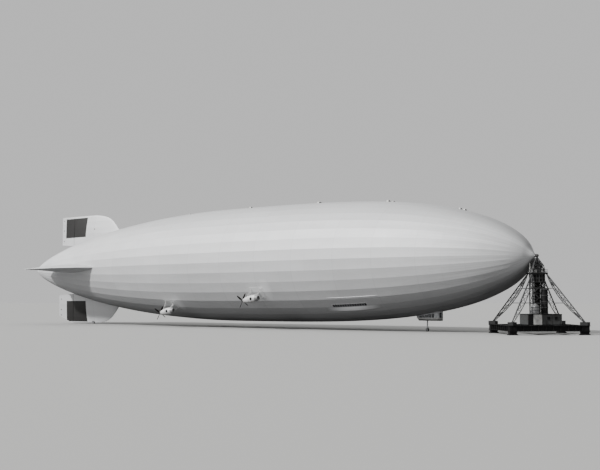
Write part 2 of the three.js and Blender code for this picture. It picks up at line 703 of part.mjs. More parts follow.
// Leg of the mast: a straight outer chord and two inner chords that bow inwards, with battens
function mastLeg(a, b) {
  const { chord, batten, spread, bays } = MAST_LEG;
  const diagonal = at(a, b, 0).normalize();
  const across = at(-diagonal.y, diagonal.x, 0);
  const outerAt = (share) => diagonal.clone().multiplyScalar(legReach(share)).setZ(legHeight(share));
  const innerAt = (share, hand) => diagonal.clone()
    .multiplyScalar(legInnerReach(share))
    .addScaledVector(across, hand * (14 + spread * Math.sin(Math.PI * share)))
    .setZ(legHeight(share));
  const shares = Array.from({ length: bays + 1 }, (_, i) => i / bays);
  const solids = [bar(outerAt(0), outerAt(1), chord)];
  for (const hand of [-1, 1]) {
    solids.push(bentBar(shares.map((share) => innerAt(share, hand)), diagonal, across, chord * 0.75));
  }
  for (const share of shares.slice(1, -1)) {
    for (const hand of [-1, 1]) solids.push(bar(outerAt(share), innerAt(share, hand), batten));
    solids.push(bar(innerAt(share, -1), innerAt(share, 1), batten));
  }
  const shoe = MAST_SHOE;
  const onDiagonal = (reach) => diagonal.clone().multiplyScalar(reach).setZ(MAST.deck + shoe.height / 2);
  const shoeEnd = legReach(0) + shoe.overhang;
  solids.push(bar(onDiagonal(shoeEnd - shoe.length), onDiagonal(shoeEnd), shoe.width, shoe.height));
  const floor = box([-2000, -2000, -100], [2000, 2000, MAST.deck + SEAT]);
  const ceiling = box([-600, -600, MAST.platform - MAST_PLATFORM.thickness - SEAT], [600, 600, 3000]);
  const drum = mastDrumSolid(SEAT);
  return toGeometry(joined(solids).subtract(floor).subtract(ceiling).subtract(drum));
}

// Ring that braces the legs: a square of bars, its corners against the battens
function mastRing({ bay, size }) {
  const share = bay / MAST_LEG.bays;
  const corner = size / (2 * Math.SQRT2);
  const half = (legInnerReach(share) - MAST_LEG.batten / 2 - SEAT - corner) / Math.SQRT2;
  const corners = [[1, 1], [-1, 1], [-1, -1], [1, -1]];
  const z = legHeight(share);
  const solids = corners.map(([a, b], i) => {
    const [c, d] = corners[(i + 1) % 4];
    return bar(at(a * half, b * half, z), at(c * half, d * half, z), size);
  });
  return toGeometry(joined(solids));
}

// Drum under the platform
function mastDrumSolid(grow) {
  const top = MAST.platform - MAST_PLATFORM.thickness - SEAT + grow;
  const low = MAST_TOWER.levels[MAST_TOWER.levels.length - 1] + SEAT - grow;
  return rod(at(0, 0, low), at(0, 0, top), MAST_DRUM.radius + grow, 16);
}

// Platform on top of the legs and drum
function mastPlatform() {
  const { half, thickness } = MAST_PLATFORM;
  return toGeometry(box([-half, -half, MAST.platform - thickness], [half, half, MAST.platform]));
}

// Head frame above the platform: raking posts with frames and braces, round the winch housing
// and the neck that carry the collar under the cup
function mastHeadFrame() {
  const { half, topHalf, height, post, frames } = MAST_HEAD;
  const low = MAST.platform + SEAT;
  const top = MAST.platform + height;
  const halfAt = (share) => half + share * (topHalf - half);
  const heightAt = (share) => low + post / 2 + share * (top - low - post / 2);
  const corners = [[1, 1], [-1, 1], [-1, -1], [1, -1]];
  const cornerAt = ([a, b], share) => at(a * halfAt(share), b * halfAt(share), heightAt(share));
  const levels = [0, ...frames];
  const solids = corners.map((corner) => bar(cornerAt(corner, -0.05), cornerAt(corner, 1), post));
  corners.forEach((corner, i) => {
    const next = corners[(i + 1) % 4];
    levels.forEach((level, n) => {
      const [start, end] = n % 2 === 0 ? [corner, next] : [next, corner];
      solids.push(bar(cornerAt(corner, level), cornerAt(next, level), post * 0.8));
      solids.push(bar(cornerAt(start, level), cornerAt(end, levels[n + 1] ?? 1), post * 0.6));
    });
  });
  const { half: winch, height: winchHeight, neck, neckHeight } = MAST_WINCH;
  solids.push(box([-winch, -winch * 0.8, low], [winch, winch * 0.8, low + winchHeight]));
  solids.push(rod(at(0, 0, low + winchHeight - 5), at(0, 0, low + neckHeight), neck, 12));
  solids.push(rod(at(0, 0, low + neckHeight - 5), at(0, 0, top), topHalf, 12));
  solids.push(box([-topHalf - 8, -topHalf - 8, top - 20], [topHalf + 8, topHalf + 8, top + 6]));
  const floor = box([-600, -600, 0], [600, 600, low]);
  return toGeometry(joined(solids).subtract(floor));
}

// Cup that holds the mooring spindle, on the head frame, in the hull's own frame
function mooringCup() {
  const start = SPINDLE.coneStart + SEAT * 2;
  const outer = toSolid(turnedX([[start, CUP.outer], [start + CUP.length, CUP.outer * 0.8]], 24));
  const recess = [
    [start - 30, SPINDLE.coneRadius + 1],
    [start, SPINDLE.coneRadius],
    [SPINDLE.coneEnd + SEAT * 2, SPINDLE.tipRadius],
  ];
  const headTop = MAST.platform + MAST_HEAD.height + 6 + SEAT - AXIS_HEIGHT;
  const foot = rod(at(MAST.x, 0, headTop), at(MAST.x, 0, -20), CUP.foot, 12);
  return toGeometry(outer.subtract(toSolid(turnedX(recess, HULL_SIDES))).add(foot.subtract(
    toSolid(turnedX([[start - 60, CUP.outer * 0.7], [start + CUP.length - 40, CUP.outer * 0.7]], 24)),
  )));
}

// Tank with a domed top on the house roof
function mastTank() {
  const { x, y, radius, height } = MAST_TANK;
  const low = MAST.deck + MAST_HOUSE.height + SEAT;
  const profile = [
    [0, radius], [height * 0.66, radius], [height * 0.82, radius * 0.86], [height * 0.94, radius * 0.5],
    [height, radius * 0.12],
  ];
  return uprightTurned(profile, x, y, low, 16);
}

// Dark upright cylinder inside the tower
function mastPipe() {
  const { x, y, radius, height } = MAST_PIPE;
  return uprightTurned([[0, radius], [height, radius]], x, y, MAST.deck + MAST_HOUSE.height + SEAT, 16);
}

// Turned solid round a vertical line from [height, radius] pairs
function uprightTurned(profile, x, y, low, sides) {
  return skin(profile.map(([h, radius]) => Array.from({ length: sides }, (_, i) => {
    const angle = (2 * Math.PI * i) / sides;
    return at(x + radius * Math.cos(angle), y + radius * Math.sin(angle), low + h);
  })));
}

// Assembly: the ship's group is laid out on the hull axis, the mast's on the ground
const whole = new THREE.Group();
const ship = new THREE.Group();
ship.position.set(-ORIGIN_X, 0, AXIS_HEIGHT);
const mast = new THREE.Group();
mast.position.set(MAST.x - ORIGIN_X, 0, 0);
mast.rotation.z = THREE.MathUtils.degToRad(MAST.turn);
whole.add(ship, mast);

// Hull
for (const { name, rings } of HULL_SECTIONS) ship.add(piece(name, hullTube(rings), 'cloth'));
ship.add(piece('tail_cone', tailCone(), 'cloth'));
ship.add(piece('nose_cap', noseCap(), 'metal'));

// Fins, rudders and elevators, each turned round the hull from the upright one
const TAIL_SURFACES = [
  { side: 'upper', flap: 'rudder_upper', turn: 0, trimmed: false, rest: 0 },
  { side: 'port', flap: 'elevator_port', turn: -90, trimmed: true, rest: 0 },
  { side: 'lower', flap: 'rudder_lower', turn: 180, trimmed: true, rest: -LOWER_RUDDER_REST },
  { side: 'starboard', flap: 'elevator_starboard', turn: 90, trimmed: true, rest: 0 },
];
for (const { side, flap, turn, trimmed, rest } of TAIL_SURFACES) {
  const lower = side === 'lower';
  const reach = lower ? LOWER_FIN_REACH : RUDDER.tip;
  const holder = new THREE.Group();
  holder.rotation.x = THREE.MathUtils.degToRad(turn);
  const hinge = new THREE.Group();
  hinge.position.x = HINGE_X;
  hinge.rotation.z = THREE.MathUtils.degToRad(rest);
  hinge.add(piece(flap, rudder(trimmed, reach), 'cloth'));
  holder.add(piece(`fin_${side}`, fin(reach, lower), 'cloth'), hinge);
  ship.add(holder);
}

// Engine cars with their engines, struts and propellers
for (const { name, x, y, z } of CAR_PAIRS) {
  for (const [hand, sideName] of [[1, 'port'], [-1, 'starboard']]) {
    const label = `${name}_${sideName}`;
    const car = new THREE.Group();
    car.position.set(x, hand * y, z);
    car.rotation.y = -CAR_TILT;
    const screw = piece(`propeller_${label}`, propeller(), 'dark');
    screw.position.x = CAR_PROFILE[0][0] - SEAT;
    car.add(piece(`engine_car_${label}`, carShell(), 'white'));
    car.add(piece(`engine_${label}`, engine(), 'steel'), screw);
    ship.add(car, piece(`car_struts_${label}`, carStruts(x, hand * y, z), 'metal'));
  }
}

// Control car
ship.add(piece('control_car', controlShell(), 'metal'));
ship.add(piece('control_car_glass', controlGlass(), 'glass'));
ship.add(piece('control_car_floor', controlFloor(), 'metal'));

// Landing wheels in their forks
const frontAxle = -AXIS_HEIGHT + FRONT_WHEEL.radius;
const frontStem = CONTROL_CAR.bottom - SEAT - frontAxle;
const frontWheel = piece('landing_wheel_front', wheel(FRONT_WHEEL), 'rubber');
const frontForkSolid = fork(FRONT_WHEEL, FRONT_WHEEL.radius + 26, frontStem, 22);
const frontFork = piece('landing_fork_front', frontForkSolid, 'metal');
for (const mesh of [frontWheel, frontFork]) mesh.position.set(FRONT_WHEEL.x, 0, frontAxle);
const tailAxle = -AXIS_HEIGHT + TAIL_WHEEL.radius;
const tailCrown = TAIL_WHEEL.radius + 20 - SEAT;
const tailWheel = piece('landing_wheel_tail', wheel(TAIL_WHEEL), 'rubber');
const tailFork = piece('landing_fork_tail', fork(TAIL_WHEEL, tailCrown, 0, 0), 'metal');
for (const mesh of [tailWheel, tailFork]) mesh.position.set(TAIL_WHEEL.x, 0, tailAxle);
ship.add(frontWheel, frontFork, tailWheel, tailFork);

// Mast
mast.add(piece('mast_base', mastBase(), 'steel'));
mast.add(piece('mast_house', mastHouse(), 'steel'));
mast.add(piece('mast_tower', mastTower(), 'steel'));
const legNames = [['front', 1, 1], ['port', -1, 1], ['rear', -1, -1], ['starboard', 1, -1]];
for (const [name, a, b] of legNames) mast.add(piece(`mast_leg_${name}`, mastLeg(a, b), 'steel'));
for (const ring of MAST_RINGS) mast.add(piece(`mast_ring_${ring.name}`, mastRing(ring), 'steel'));
mast.add(piece('mast_drum', toGeometry(mastDrumSolid(0)), 'dark'));
mast.add(piece('mast_platform', mastPlatform(), 'steel'));
mast.add(piece('mast_head_frame', mastHeadFrame(), 'steel'));
mast.add(piece('mast_tank', mastTank(), 'metal'));
mast.add(piece('mast_pipe', mastPipe(), 'dark'));
ship.add(piece('mooring_cup', mooringCup(), 'metal'));

export default whole;
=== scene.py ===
"""Looks of a rigid airship held at its mooring mast, a 1:10 scale model, in metres.

The hull's axis runs along X with the bow at +X. A station is a distance forward of the stern
post, and a height on a fin is a distance from the hull's axis. Each surface is worked out on a
grid of two parameters as whole numpy arrays, and joined to one mesh for each piece.
"""
import math

import bmesh
import bpy
import numpy as np
from mathutils import Matrix, Vector


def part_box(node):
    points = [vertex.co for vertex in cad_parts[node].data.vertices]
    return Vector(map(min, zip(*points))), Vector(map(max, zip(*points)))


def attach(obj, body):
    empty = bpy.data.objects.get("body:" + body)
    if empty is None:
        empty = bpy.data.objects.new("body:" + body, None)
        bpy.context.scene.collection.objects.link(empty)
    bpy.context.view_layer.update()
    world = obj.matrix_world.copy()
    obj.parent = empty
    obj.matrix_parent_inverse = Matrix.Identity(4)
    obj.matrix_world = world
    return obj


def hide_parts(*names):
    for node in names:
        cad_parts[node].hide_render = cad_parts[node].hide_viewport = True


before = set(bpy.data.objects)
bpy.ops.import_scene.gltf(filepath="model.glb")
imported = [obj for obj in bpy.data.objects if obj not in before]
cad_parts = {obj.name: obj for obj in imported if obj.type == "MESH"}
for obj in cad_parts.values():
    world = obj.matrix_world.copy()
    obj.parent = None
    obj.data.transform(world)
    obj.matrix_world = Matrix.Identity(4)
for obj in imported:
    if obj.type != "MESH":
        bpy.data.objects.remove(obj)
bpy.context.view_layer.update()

# Places that the frame gives
SHIP = "airship"
SEAT = 0.00035
STERN_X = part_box("hull_stern")[0][0] - SEAT / 2
AXIS_Z = (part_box("hull_middle")[0][2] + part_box("hull_middle")[1][2]) / 2
MAST_X = sum(corner[0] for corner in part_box("mast_platform")) / 2
MAST_TURN = math.radians(-45)

# Angles round the hull at which its grids have points, how near points merge in a piece and after
# a cut, and how far a raised patch reaches into the hull's wall
ROUND_HULL = np.arange(0, 362.5, 2.5)
DOUBLED = 1e-6
CUT_WELD = 3e-5
PATCH_DEPTH = 0.004

# Hull: ridges round it, main frames along it, and the curve of its radius
HULL_RADIUS = 2.06
HULL_SIDES = 36
HULL_WALL = 0.010
CLOTH_SAG = 0.0022
NOSE_STATION = 23.35
WIDEST_STATION = 11.48
TAIL_STATION = -1.15
AFT_CURVE = (1.96, 0.75)
BOW_CURVE = (3.6, 0.54)
MAIN_FRAMES = np.array([0, 0.85, 2.05, 3.35, 4.7, 6.2, 7.7, 9.2, 10.75, 12.35, 14.0, 15.65, 17.35,
                        18.8, 20.3, 21.1, 21.8, 22.95])
BAYS_PER_FRAME = 3
HULL_LENGTHS = {
    "hull_stern": (0, 4.7),
    "hull_aft": (4.7, 9.2),
    "hull_middle": (9.2, 14.0),
    "hull_forward": (14.0, 18.8),
    "hull_bow": (18.8, 22.95),
}

# Fins: leading edge station and half thickness by height, as in the frame
HINGE_STATION = 1.5
FIN_TABLE = np.array([
    [0.50, 5.13, 0.200], [1.20, 4.87, 0.178], [1.57, 4.51, 0.150], [1.87, 4.21, 0.108],
    [2.04, 3.99, 0.076], [2.17, 3.66, 0.050], [2.24, 3.30, 0.034], [2.275, 2.95, 0.022],
])
LEVEL_ROOT = {"ahead": 0.33, "from": 2.17, "full": 1.57}
FIN_REACH = 2.275
LOWER_REACH = 2.250
REAR_SHARE = 0.46
RUDDER_GAP = 0.006
RUDDER_ROOT = (1.03, 1.08)
RUDDER_TAIL = 0.655
RUDDER_EDGE = 0.006
RIB_PITCH = 0.25
FIN_ROUNDING = 0.02
TRIM = (1.40, 1.95)
LOWER_RUDDER_TURN = 10
FIN_TURNS = {"upper": 0, "port": -90, "lower": 180, "starboard": 90}

# Rudders and elevators: fin, reach, whether the outer edge is trimmed, and turn at rest
CONTROL_SURFACES = {
    "rudder_upper": ("upper", FIN_REACH, False, 0),
    "rudder_lower": ("lower", LOWER_REACH, True, -LOWER_RUDDER_TURN),
    "elevator_port": ("port", FIN_REACH, True, 0),
    "elevator_starboard": ("starboard", FIN_REACH, True, 0),
}
MARKED_PANELS = {"upper": ((0.92, 2.45), (1.375, 2.20)), "lower": ((1.12, 2.50), (1.33, 2.20))}

# Engine cars: outline as distance forward of the middle, and radius
CAR_TABLE = np.array([
    [-0.39, 0.035], [-0.30, 0.076], [-0.18, 0.108], [-0.04, 0.125], [0.12, 0.127], [0.24, 0.110],
    [0.31, 0.086], [0.33, 0.074],
])
CAR_PLACES = {
    "front_port": (13.925, 2.06, -1.266), "front_starboard": (13.925, -2.06, -1.266),
    "rear_port": (9.24, 1.61, -1.715), "rear_starboard": (9.24, -1.61, -1.715),
}
CAR_TILT = math.radians(8.2)
CAR_WINDOW = (0.09, 0.047)
CAR_COWL = 0.235
CAR_WALL = 0.006
CAR_LIP = {"middle": (0.33, 0.067), "radius": 0.007}
CAR_SHUTTERS = {"count": 9, "station": 0.316, "half_height": 0.048, "radius": 0.058}
CAR_BANDS = (-0.26, -0.02, 0.235)

# Plate under a car's struts as half length and half width, and the brighter patch ahead of it as
# distance forward of the car, half length, and half width in strips
STRUT_PLATE = (0.270, 0.200)
PALE_PATCH = (0.42, 0.30, 1.25)

# Passenger windows, their sill and the rail over them: stations, and degrees below the middle
WINDOW_STATIONS = (16.86, 18.20)
WINDOW_ANGLES = (-50.1, -47.0)
WINDOW_COUNT = 14
SILL_STATIONS = (16.5, 18.7)
SILL_ANGLES = (-56.3, -50.6)
SILL_SWELL = 0.052
RAIL_STATIONS = (16.8, 18.75)
RAIL_ANGLE = -38.4

# How far these stand off the cloth, and the part of a pane's length left free at each end
RAIL_LIFT = 0.007
PANE_LIFT = 0.0025
FRAME_LIFT = 0.0015
PANE_GAP = 0.09

# Vents on the crown: station, length, width and height
VENT_HOODS = [(5.5, 0.16, 0.12, 0.050), (8.72, 0.16, 0.12, 0.055), (11.95, 0.16, 0.12, 0.060),
              (15.2, 0.20, 0.14, 0.062), (18.15, 0.16, 0.12, 0.060), (18.36, 0.09, 0.09, 0.040),
              (20.9, 0.11, 0.10, 0.052), (21.07, 0.11, 0.10, 0.052)]

# Fittings on the fins: station and heights of the horns by a rudder's tab, and the round light on
# the upper fin as station, height and radius
TAB_HORNS = (0.79, (1.25, 1.70, 2.12), 1.93)
FIN_LIGHT = (3.02, 1.68, 0.026)

# Propellers: chord, thickness and pitch by distance from the axis, and the hub's outline
BLADE_TABLE = np.array([
    [0.018, 0.032, 0.015, 60], [0.110, 0.058, 0.010, 42], [0.210, 0.052, 0.007, 28],
    [0.300, 0.030, 0.005, 20],
])
BLADE_COUNT = 4
BLADE_TURN = 56
BLADE_BEHIND = 0.018
HUB_OUTLINE = [(0, 0), (0, 0.024), (-0.004, 0.030), (-0.030, 0.030), (-0.042, 0.026), (-0.052, 0.018),
               (-0.060, 0.008), (-0.062, 0)]
CAR_BACK = -0.39035

# Nose cap ahead of the hull's last frame, and the mooring spindle on its tip
NOSE_STATIONS = (22.95, 23.22)
NOSE_TIP = [(23.32, 0.192), (23.37, 0.124), (23.405, 0.076), (23.428, 0.030)]
CUP = {"start": 23.453, "length": 0.0895, "outer": 0.050, "foot": 0.034}
CUP_BELL = [(0.048, 0), (0.048, 0.0148), (0.0, 0.0348), (0.0, CUP["outer"]), (0.010, CUP["outer"]),
            (0.014, 0.0455), (0.030, 0.0450), (0.033, 0.0480), (0.041, 0.0480), (0.044, 0.0435),
            (0.066, 0.0410), (0.069, 0.0425), (0.075, 0.0420), (0.078, 0.0390), (0.086, 0.0350),
            (CUP["length"], 0.020), (CUP["length"], 0)]
SPINDLE = [(23.431, 0.018), (23.440, 0.018), (23.452, 0.034), (23.500, 0.014), (23.500, 0)]

# Control car: stations, half widths and heights below the hull's axis
CONTROL = {"front": 20.20, "aft": 19.28, "half": 0.135, "aft_half": 0.055, "nose": 0.135,
           "waist": -1.85, "bottom": -1.95, "front_rake": 0.02, "aft_rake": 0.09}
STRAKE_HEIGHT = 0.038
CONTROL_WINDOWS = {"start": 19.395, "pitch": 0.122, "width": 0.098, "count": 5}

# Landing wheels: tyre radius, half width and bore
WHEELS = {"landing_wheel_front": (0.060, 0.020, 0.0096), "landing_wheel_tail": (0.050, 0.015, 0.0086)}

# Mast, in its own square axes about its middle
DECK = 0.270
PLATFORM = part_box("mast_platform")[1][2]
MAST_CORNERS = np.array([[1, 1], [-1, 1], [-1, -1], [1, -1]])
MAST_HALF_FOOT = 1.109
MAST_HALF_HEAD = 0.215
GIRDER = (0.110, 0.165)
BLOCK = (0.250, 0.070)
LEG_BAYS = 7
LEG_BULGE = 0.165
LEG_SPREAD = (0.014, 0.062)
TOWER_HALF = 0.175
TOWER_LEVELS = (0.585, 0.890, 1.195, 1.500)
HOUSE = {"x": (-0.350, 0.470), "y": (-0.433, 0.573), "top": 0.585}
HEAD_BOW = np.array([[0.0, 0.190], [0.28, 0.176], [0.56, 0.148], [0.80, 0.088], [1.0, 0.040]])
HEAD_HEIGHT = 0.425
RAIL_HEIGHT = 0.105

# Inside the tower: half width of the laced shaft and its rungs, pipes as x, y and radius, and the
# stairs' lane, run and steps
SHAFT = (0.112, 34)
TOWER_PIPES = ((-0.135, 0.10, 0.020), (-0.135, 0.02, 0.014), (0.03, 0.135, 0.016))
STAIRS = (0.148, 0.13, 12)

# Sheaves on the mast's head, above the platform, and outlines of a sheave and of the winch's drum
SHEAVES = ((0.085, 0.045, 0.30), (0.085, -0.045, 0.30), (-0.085, 0.045, 0.30), (-0.085, -0.045, 0.30),
           (0.0, 0.120, 0.21), (0.0, -0.120, 0.21))
SHEAVE_OUTLINE = [(-0.010, 0.014), (-0.010, 0.045), (-0.006, 0.052), (0, 0.046), (0.006, 0.052),
                  (0.010, 0.045), (0.010, 0.014), (-0.010, 0.014)]
WINCH_OUTLINE = [(-0.12, 0), (-0.12, 0.05), (-0.105, 0.05), (-0.10, 0.034), (0.10, 0.034),
                 (0.105, 0.05), (0.12, 0.05), (0.12, 0)]

# Front wall of the machinery house, across it: doors, doorway, windows' left edges, seams, and a
# window's width, foot and head
HOUSE_DOORS = ((-0.262, -0.139), (-0.135, -0.014))
HOUSE_DOORWAY = (-0.408, -0.268)
HOUSE_WINDOWS = (0.14, 0.36)
HOUSE_SEAMS = (-0.268, -0.008, 0.108, 0.278, 0.50)
HOUSE_PANE = (0.085, 0.42, 0.51)

# Stage: strength of the even backdrop and the light's fall towards the bow, the lamp, and the
# photograph's camera with its turn and tilt in radians
BACKDROP = 0.65
FORWARD_FALL = -0.30
LAMP = {"towards": (-0.33, -0.56, 0.52), "energy": 3.7, "degrees": 3}
CAMERA = {"place": (38.3615, -27.7793, -1.3228), "yaw": 0.713431, "pitch": 0.062526, "lens": 63.0}


class Parts:
    """Points and four-sided faces of one piece, gathered from grids, with two texture numbers at
    each corner and a material number for each face."""

    def __init__(self):
        """Empty at first."""
        self.points, self.quads, self.corners, self.kinds, self.count = [], [], [], [], 0

    def grid(self, points, texture=None, kind=0):
        """Cell (i, j) of an n by m grid has the corners (i, j), (i, j+1), (i+1, j+1), (i+1, j)."""
        rows, columns = points.shape[:2]
        index = np.arange(rows * columns).reshape(rows, columns)
        corners = (index[:-1, :-1], index[:-1, 1:], index[1:, 1:], index[1:, :-1])
        quads = np.stack([corner.ravel() for corner in corners], axis=1)
        if texture is None:
            texture = np.stack(np.meshgrid(np.linspace(0, 1, rows), np.linspace(0, 1, columns),
                                           indexing="ij"), axis=2)
        self.cells(points.reshape(-1, 3), quads, texture.reshape(-1, 2), kind)
        return self

    def cells(self, points, quads, texture=None, kind=0):
        """Points with faces that are already numbered from nought."""
        if texture is None:
            texture = np.zeros((len(points), 2))
        self.points.append(points)
        self.quads.append(quads + self.count)
        self.corners.append(texture[quads].reshape(-1, 2))
        self.kinds.append(np.full(len(quads), kind))
        self.count += len(points)
        return self

    def bars(self, *where):
        """Square bars, as the function of that name gives them."""
        return self.cells(*bars(*where))

    def uprights(self, *where):
        """Upright square bars, as the function of that name gives them."""
        return self.cells(*uprights(*where))

    def patch(self, *where, **more):
        """A raised patch on the hull, as hull_band gives it."""
        for grid in hull_band(*where, **more):
            self.grid(grid)
        return self

    def moved(self, change):
        """The same parts with a change made to all their points."""
        self.points = [change(points) for points in self.points]
        return self


def linked(name, data):
    """A new object with its data, linked into the scene."""
    thing = bpy.data.objects.new(name, data)
    bpy.context.collection.objects.link(thing)
    return thing


def merge_doubled(mesh):
    """Merges doubled points and turns the faces outwards."""
    shape = bmesh.new()
    shape.from_mesh(mesh)
    bmesh.ops.remove_doubles(shape, verts=shape.verts, dist=DOUBLED)
    bmesh.ops.recalc_face_normals(shape, faces=shape.faces)
    shape.to_mesh(mesh)
    shape.free()


def piece(name, parts, materials, slot, body=SHIP, replaces=(), crease=35):
    """One object from parts: doubled points are merged, so that seams and poles close, and edges
    that turn by more than the crease angle are sharp."""
    points, quads = np.concatenate(parts.points), np.concatenate(parts.quads)
    mesh = bpy.data.meshes.new(name)
    mesh.vertices.add(len(points))
    mesh.vertices.foreach_set("co", points.astype(np.float32).ravel())
    mesh.loops.add(quads.size)
    mesh.loops.foreach_set("vertex_index", quads.astype(np.int32).ravel())
    mesh.polygons.add(len(quads))
    mesh.polygons.foreach_set("loop_start", np.arange(0, quads.size, 4, dtype=np.int32))
    mesh.polygons.foreach_set("material_index", np.concatenate(parts.kinds).astype(np.int32))
    layer = mesh.uv_layers.new(name="cover")
    layer.data.foreach_set("uv", np.concatenate(parts.corners).astype(np.float32).ravel())
    mesh.update(calc_edges=True)
    merge_doubled(mesh)
    mesh.polygons.foreach_set("use_smooth", np.ones(len(mesh.polygons), dtype=bool))
    mesh.set_sharp_from_angle(angle=math.radians(crease))
    for material in (materials if isinstance(materials, (list, tuple)) else [materials]):
        mesh.materials.append(material)
    thing = linked(name, mesh)
    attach(thing, body)
    if replaces:
        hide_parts(*replaces)
    return thing


def smooth_table(at, table):
    """Columns of a table at any value of its first column, along a cubic between rows whose slope
    at each row is the mean slope of its neighbours."""
    x, y = table[:, 0], table[:, 1:]
    slope = np.gradient(y, x, axis=0)
    at = np.clip(at, x[0], x[-1])
    i = np.clip(np.searchsorted(x, at, side="right") - 1, 0, len(x) - 2)
    step = (x[i + 1] - x[i])[..., None]
    t = ((at - x[i])[..., None]) / step
    return ((2 * t**3 - 3 * t**2 + 1) * y[i] + (t**3 - 2 * t**2 + t) * step * slope[i]
            + (3 * t**2 - 2 * t**3) * y[i + 1] + (t**3 - t**2) * step * slope[i + 1])


def hull_radius(station):
    """R (1 - t^p)^q, where t runs from 0 at the widest station to 1 at the stern tip or the nose,
    with its own p and q to each side."""
    station = np.asarray(station, dtype=float)
    aft = station < WIDEST_STATION
    end = np.where(aft, TAIL_STATION, NOSE_STATION)
    power = np.where(aft, AFT_CURVE[0], BOW_CURVE[0])
    root = np.where(aft, AFT_CURVE[1], BOW_CURVE[1])
    share = np.clip(np.abs((station - WIDEST_STATION) / (end - WIDEST_STATION)), 0, 1)
    return HULL_RADIUS * (1 - share**power) ** root


def hull_point(station, degrees, lift=0.0, sag=0.0):
    """Point on the faceted hull: the radius at an angle is r cos 5 / cos(a - 5) with a the angle
    past the last ridge, less a sag that is deepest in the middle of a facet, plus a lift."""
    station, degrees = np.broadcast_arrays(np.asarray(station, float), np.asarray(degrees, float))
    facet = 360 / HULL_SIDES
    past = np.mod(degrees, facet)
    flat = math.cos(math.radians(facet / 2)) / np.cos(np.radians(past - facet / 2))
    radius = hull_radius(station) * flat + lift - sag * np.sin(np.pi * past / facet) ** 2
    turn = np.radians(degrees)
    return np.stack([STERN_X + station, radius * np.cos(turn), AXIS_Z + radius * np.sin(turn)], axis=-1)


def bay_number(station):
    """Bays counted from the stern, three to each main frame."""
    return np.interp(station, MAIN_FRAMES, BAYS_PER_FRAME * np.arange(len(MAIN_FRAMES)))


def cloth_sag(station):
    """How far the cloth sinks in the middle of a facet: nought at a ring, full from a quarter of a
    bay away from it."""
    away = np.abs((bay_number(station) + 0.5) % 1 - 0.5)
    return CLOTH_SAG * np.clip(away / 0.25, 0, 1) ** 0.7


def hull_texture(bays, degrees):
    """Numbers of the bay and of the strip between ridges for a grid of bays and angles."""
    return np.stack(np.meshgrid(bays, degrees * HULL_SIDES / 360, indexing="ij"), axis=2)


def at_height(plan, z):
    """Rows of x and y with a height added, one for all or one each."""
    plan = np.asarray(plan, float)
    return np.column_stack([plan, np.broadcast_to(z, len(plan))])


def round_path(radius, z, middle=(0, 0)):
    """Points round an upright axis, for a closed tube."""
    turn = np.linspace(0, 2 * np.pi, 49)[:-1]
    circle = radius * np.column_stack([np.cos(turn), np.sin(turn)])
    return at_height(circle + np.asarray(middle)[:2], z)


def bars(start, end, width, depth=None):
    """Square bars between two lists of points: each corner is an end plus half the width along a
    level direction across the bar and half the depth along the one square to both."""
    start, end = np.atleast_2d(start).astype(float), np.atleast_2d(end).astype(float)
    depth = width if depth is None else depth
    along = end - start
    along /= np.linalg.norm(along, axis=1, keepdims=True)
    side = np.cross([0.0, 0.0, 1.0], along)
    upright = np.linalg.norm(side, axis=1) < 0.05
    side[upright] = [0.0, 1.0, 0.0]
    side /= np.linalg.norm(side, axis=1, keepdims=True)
    up = np.cross(along, side)
    signs = np.array([[1, 1], [-1, 1], [-1, -1], [1, -1]]) / 2
    offset = signs[:, 0, None, None] * width * side + signs[:, 1, None, None] * depth * up
    points = np.concatenate([start + offset, end + offset]).transpose(1, 0, 2)
    faces = np.array([[0, 3, 2, 1], [4, 5, 6, 7], [0, 1, 5, 4], [1, 2, 6, 5], [2, 3, 7, 6], [3, 0, 4, 7]])
    quads = (faces[None] + 8 * np.arange(len(start))[:, None, None]).reshape(-1, 4)
    return points.reshape(-1, 3), quads


def tube(path, radius, sides=10, closed=False):
    """Round tube along a path: rings square to it at each point, drawn in to a point at both ends
    unless it is closed, when it lies in one plane."""
    path = np.asarray(path, float)
    if closed:
        along = np.roll(path, -1, axis=0) - np.roll(path, 1, axis=0)
    else:
        along = np.gradient(path, axis=0)
    along /= np.linalg.norm(along, axis=1, keepdims=True)
    reference = [1.0, 0.0, 0.0] if np.abs(along[:, 2]).mean() > 0.8 else [0.0, 0.0, 1.0]
    if closed:
        middle = path.mean(axis=0)
        reference = np.cross(path[0] - middle, path[len(path) // 4] - middle)
    side = np.cross(reference, along)
    side /= np.linalg.norm(side, axis=1, keepdims=True)
    up = np.cross(along, side)
    turn = np.linspace(0, 2 * np.pi, sides + 1)
    ring = np.cos(turn)[None, :, None] * side[:, None] + np.sin(turn)[None, :, None] * up[:, None]
    size = np.broadcast_to(np.asarray(radius, float), (len(path),))
    points = path[:, None] + size[:, None, None] * ring
    if closed:
        return np.concatenate([points, points[:1]])
    ends = [np.repeat(path[i][None, None], sides + 1, axis=1) for i in (0, -1)]
    return np.concatenate([ends[0], points, ends[1]])


def turned(profile, sides=48, centre=(0, 0, 0), axis="x"):
    """Surface turned round a line along an axis: profile rows are distance along it and radius."""
    profile = np.asarray(profile, float)
    turn = np.linspace(0, 2 * np.pi, sides + 1)
    along = np.repeat(profile[:, :1], sides + 1, axis=1)
    first = profile[:, 1:2] * np.cos(turn)
    second = profile[:, 1:2] * np.sin(turn)
    order = {"x": (along, first, second), "y": (second, along, first), "z": (first, second, along)}
    return np.stack(order[axis], axis=2) + np.asarray(centre, float)


def arc(centre, radius, start, stop, count):
    """Points of an arc as pairs, with angles in degrees."""
    turn = np.radians(np.linspace(start, stop, count))
    return np.stack([centre[0] + radius * np.cos(turn), centre[1] + radius * np.sin(turn)], axis=1)


def around(plan, z):
    """Starts and ends of the sides of a closed plan at one height."""
    corners = at_height(plan, z)
    return corners, np.roll(corners, -1, axis=0)


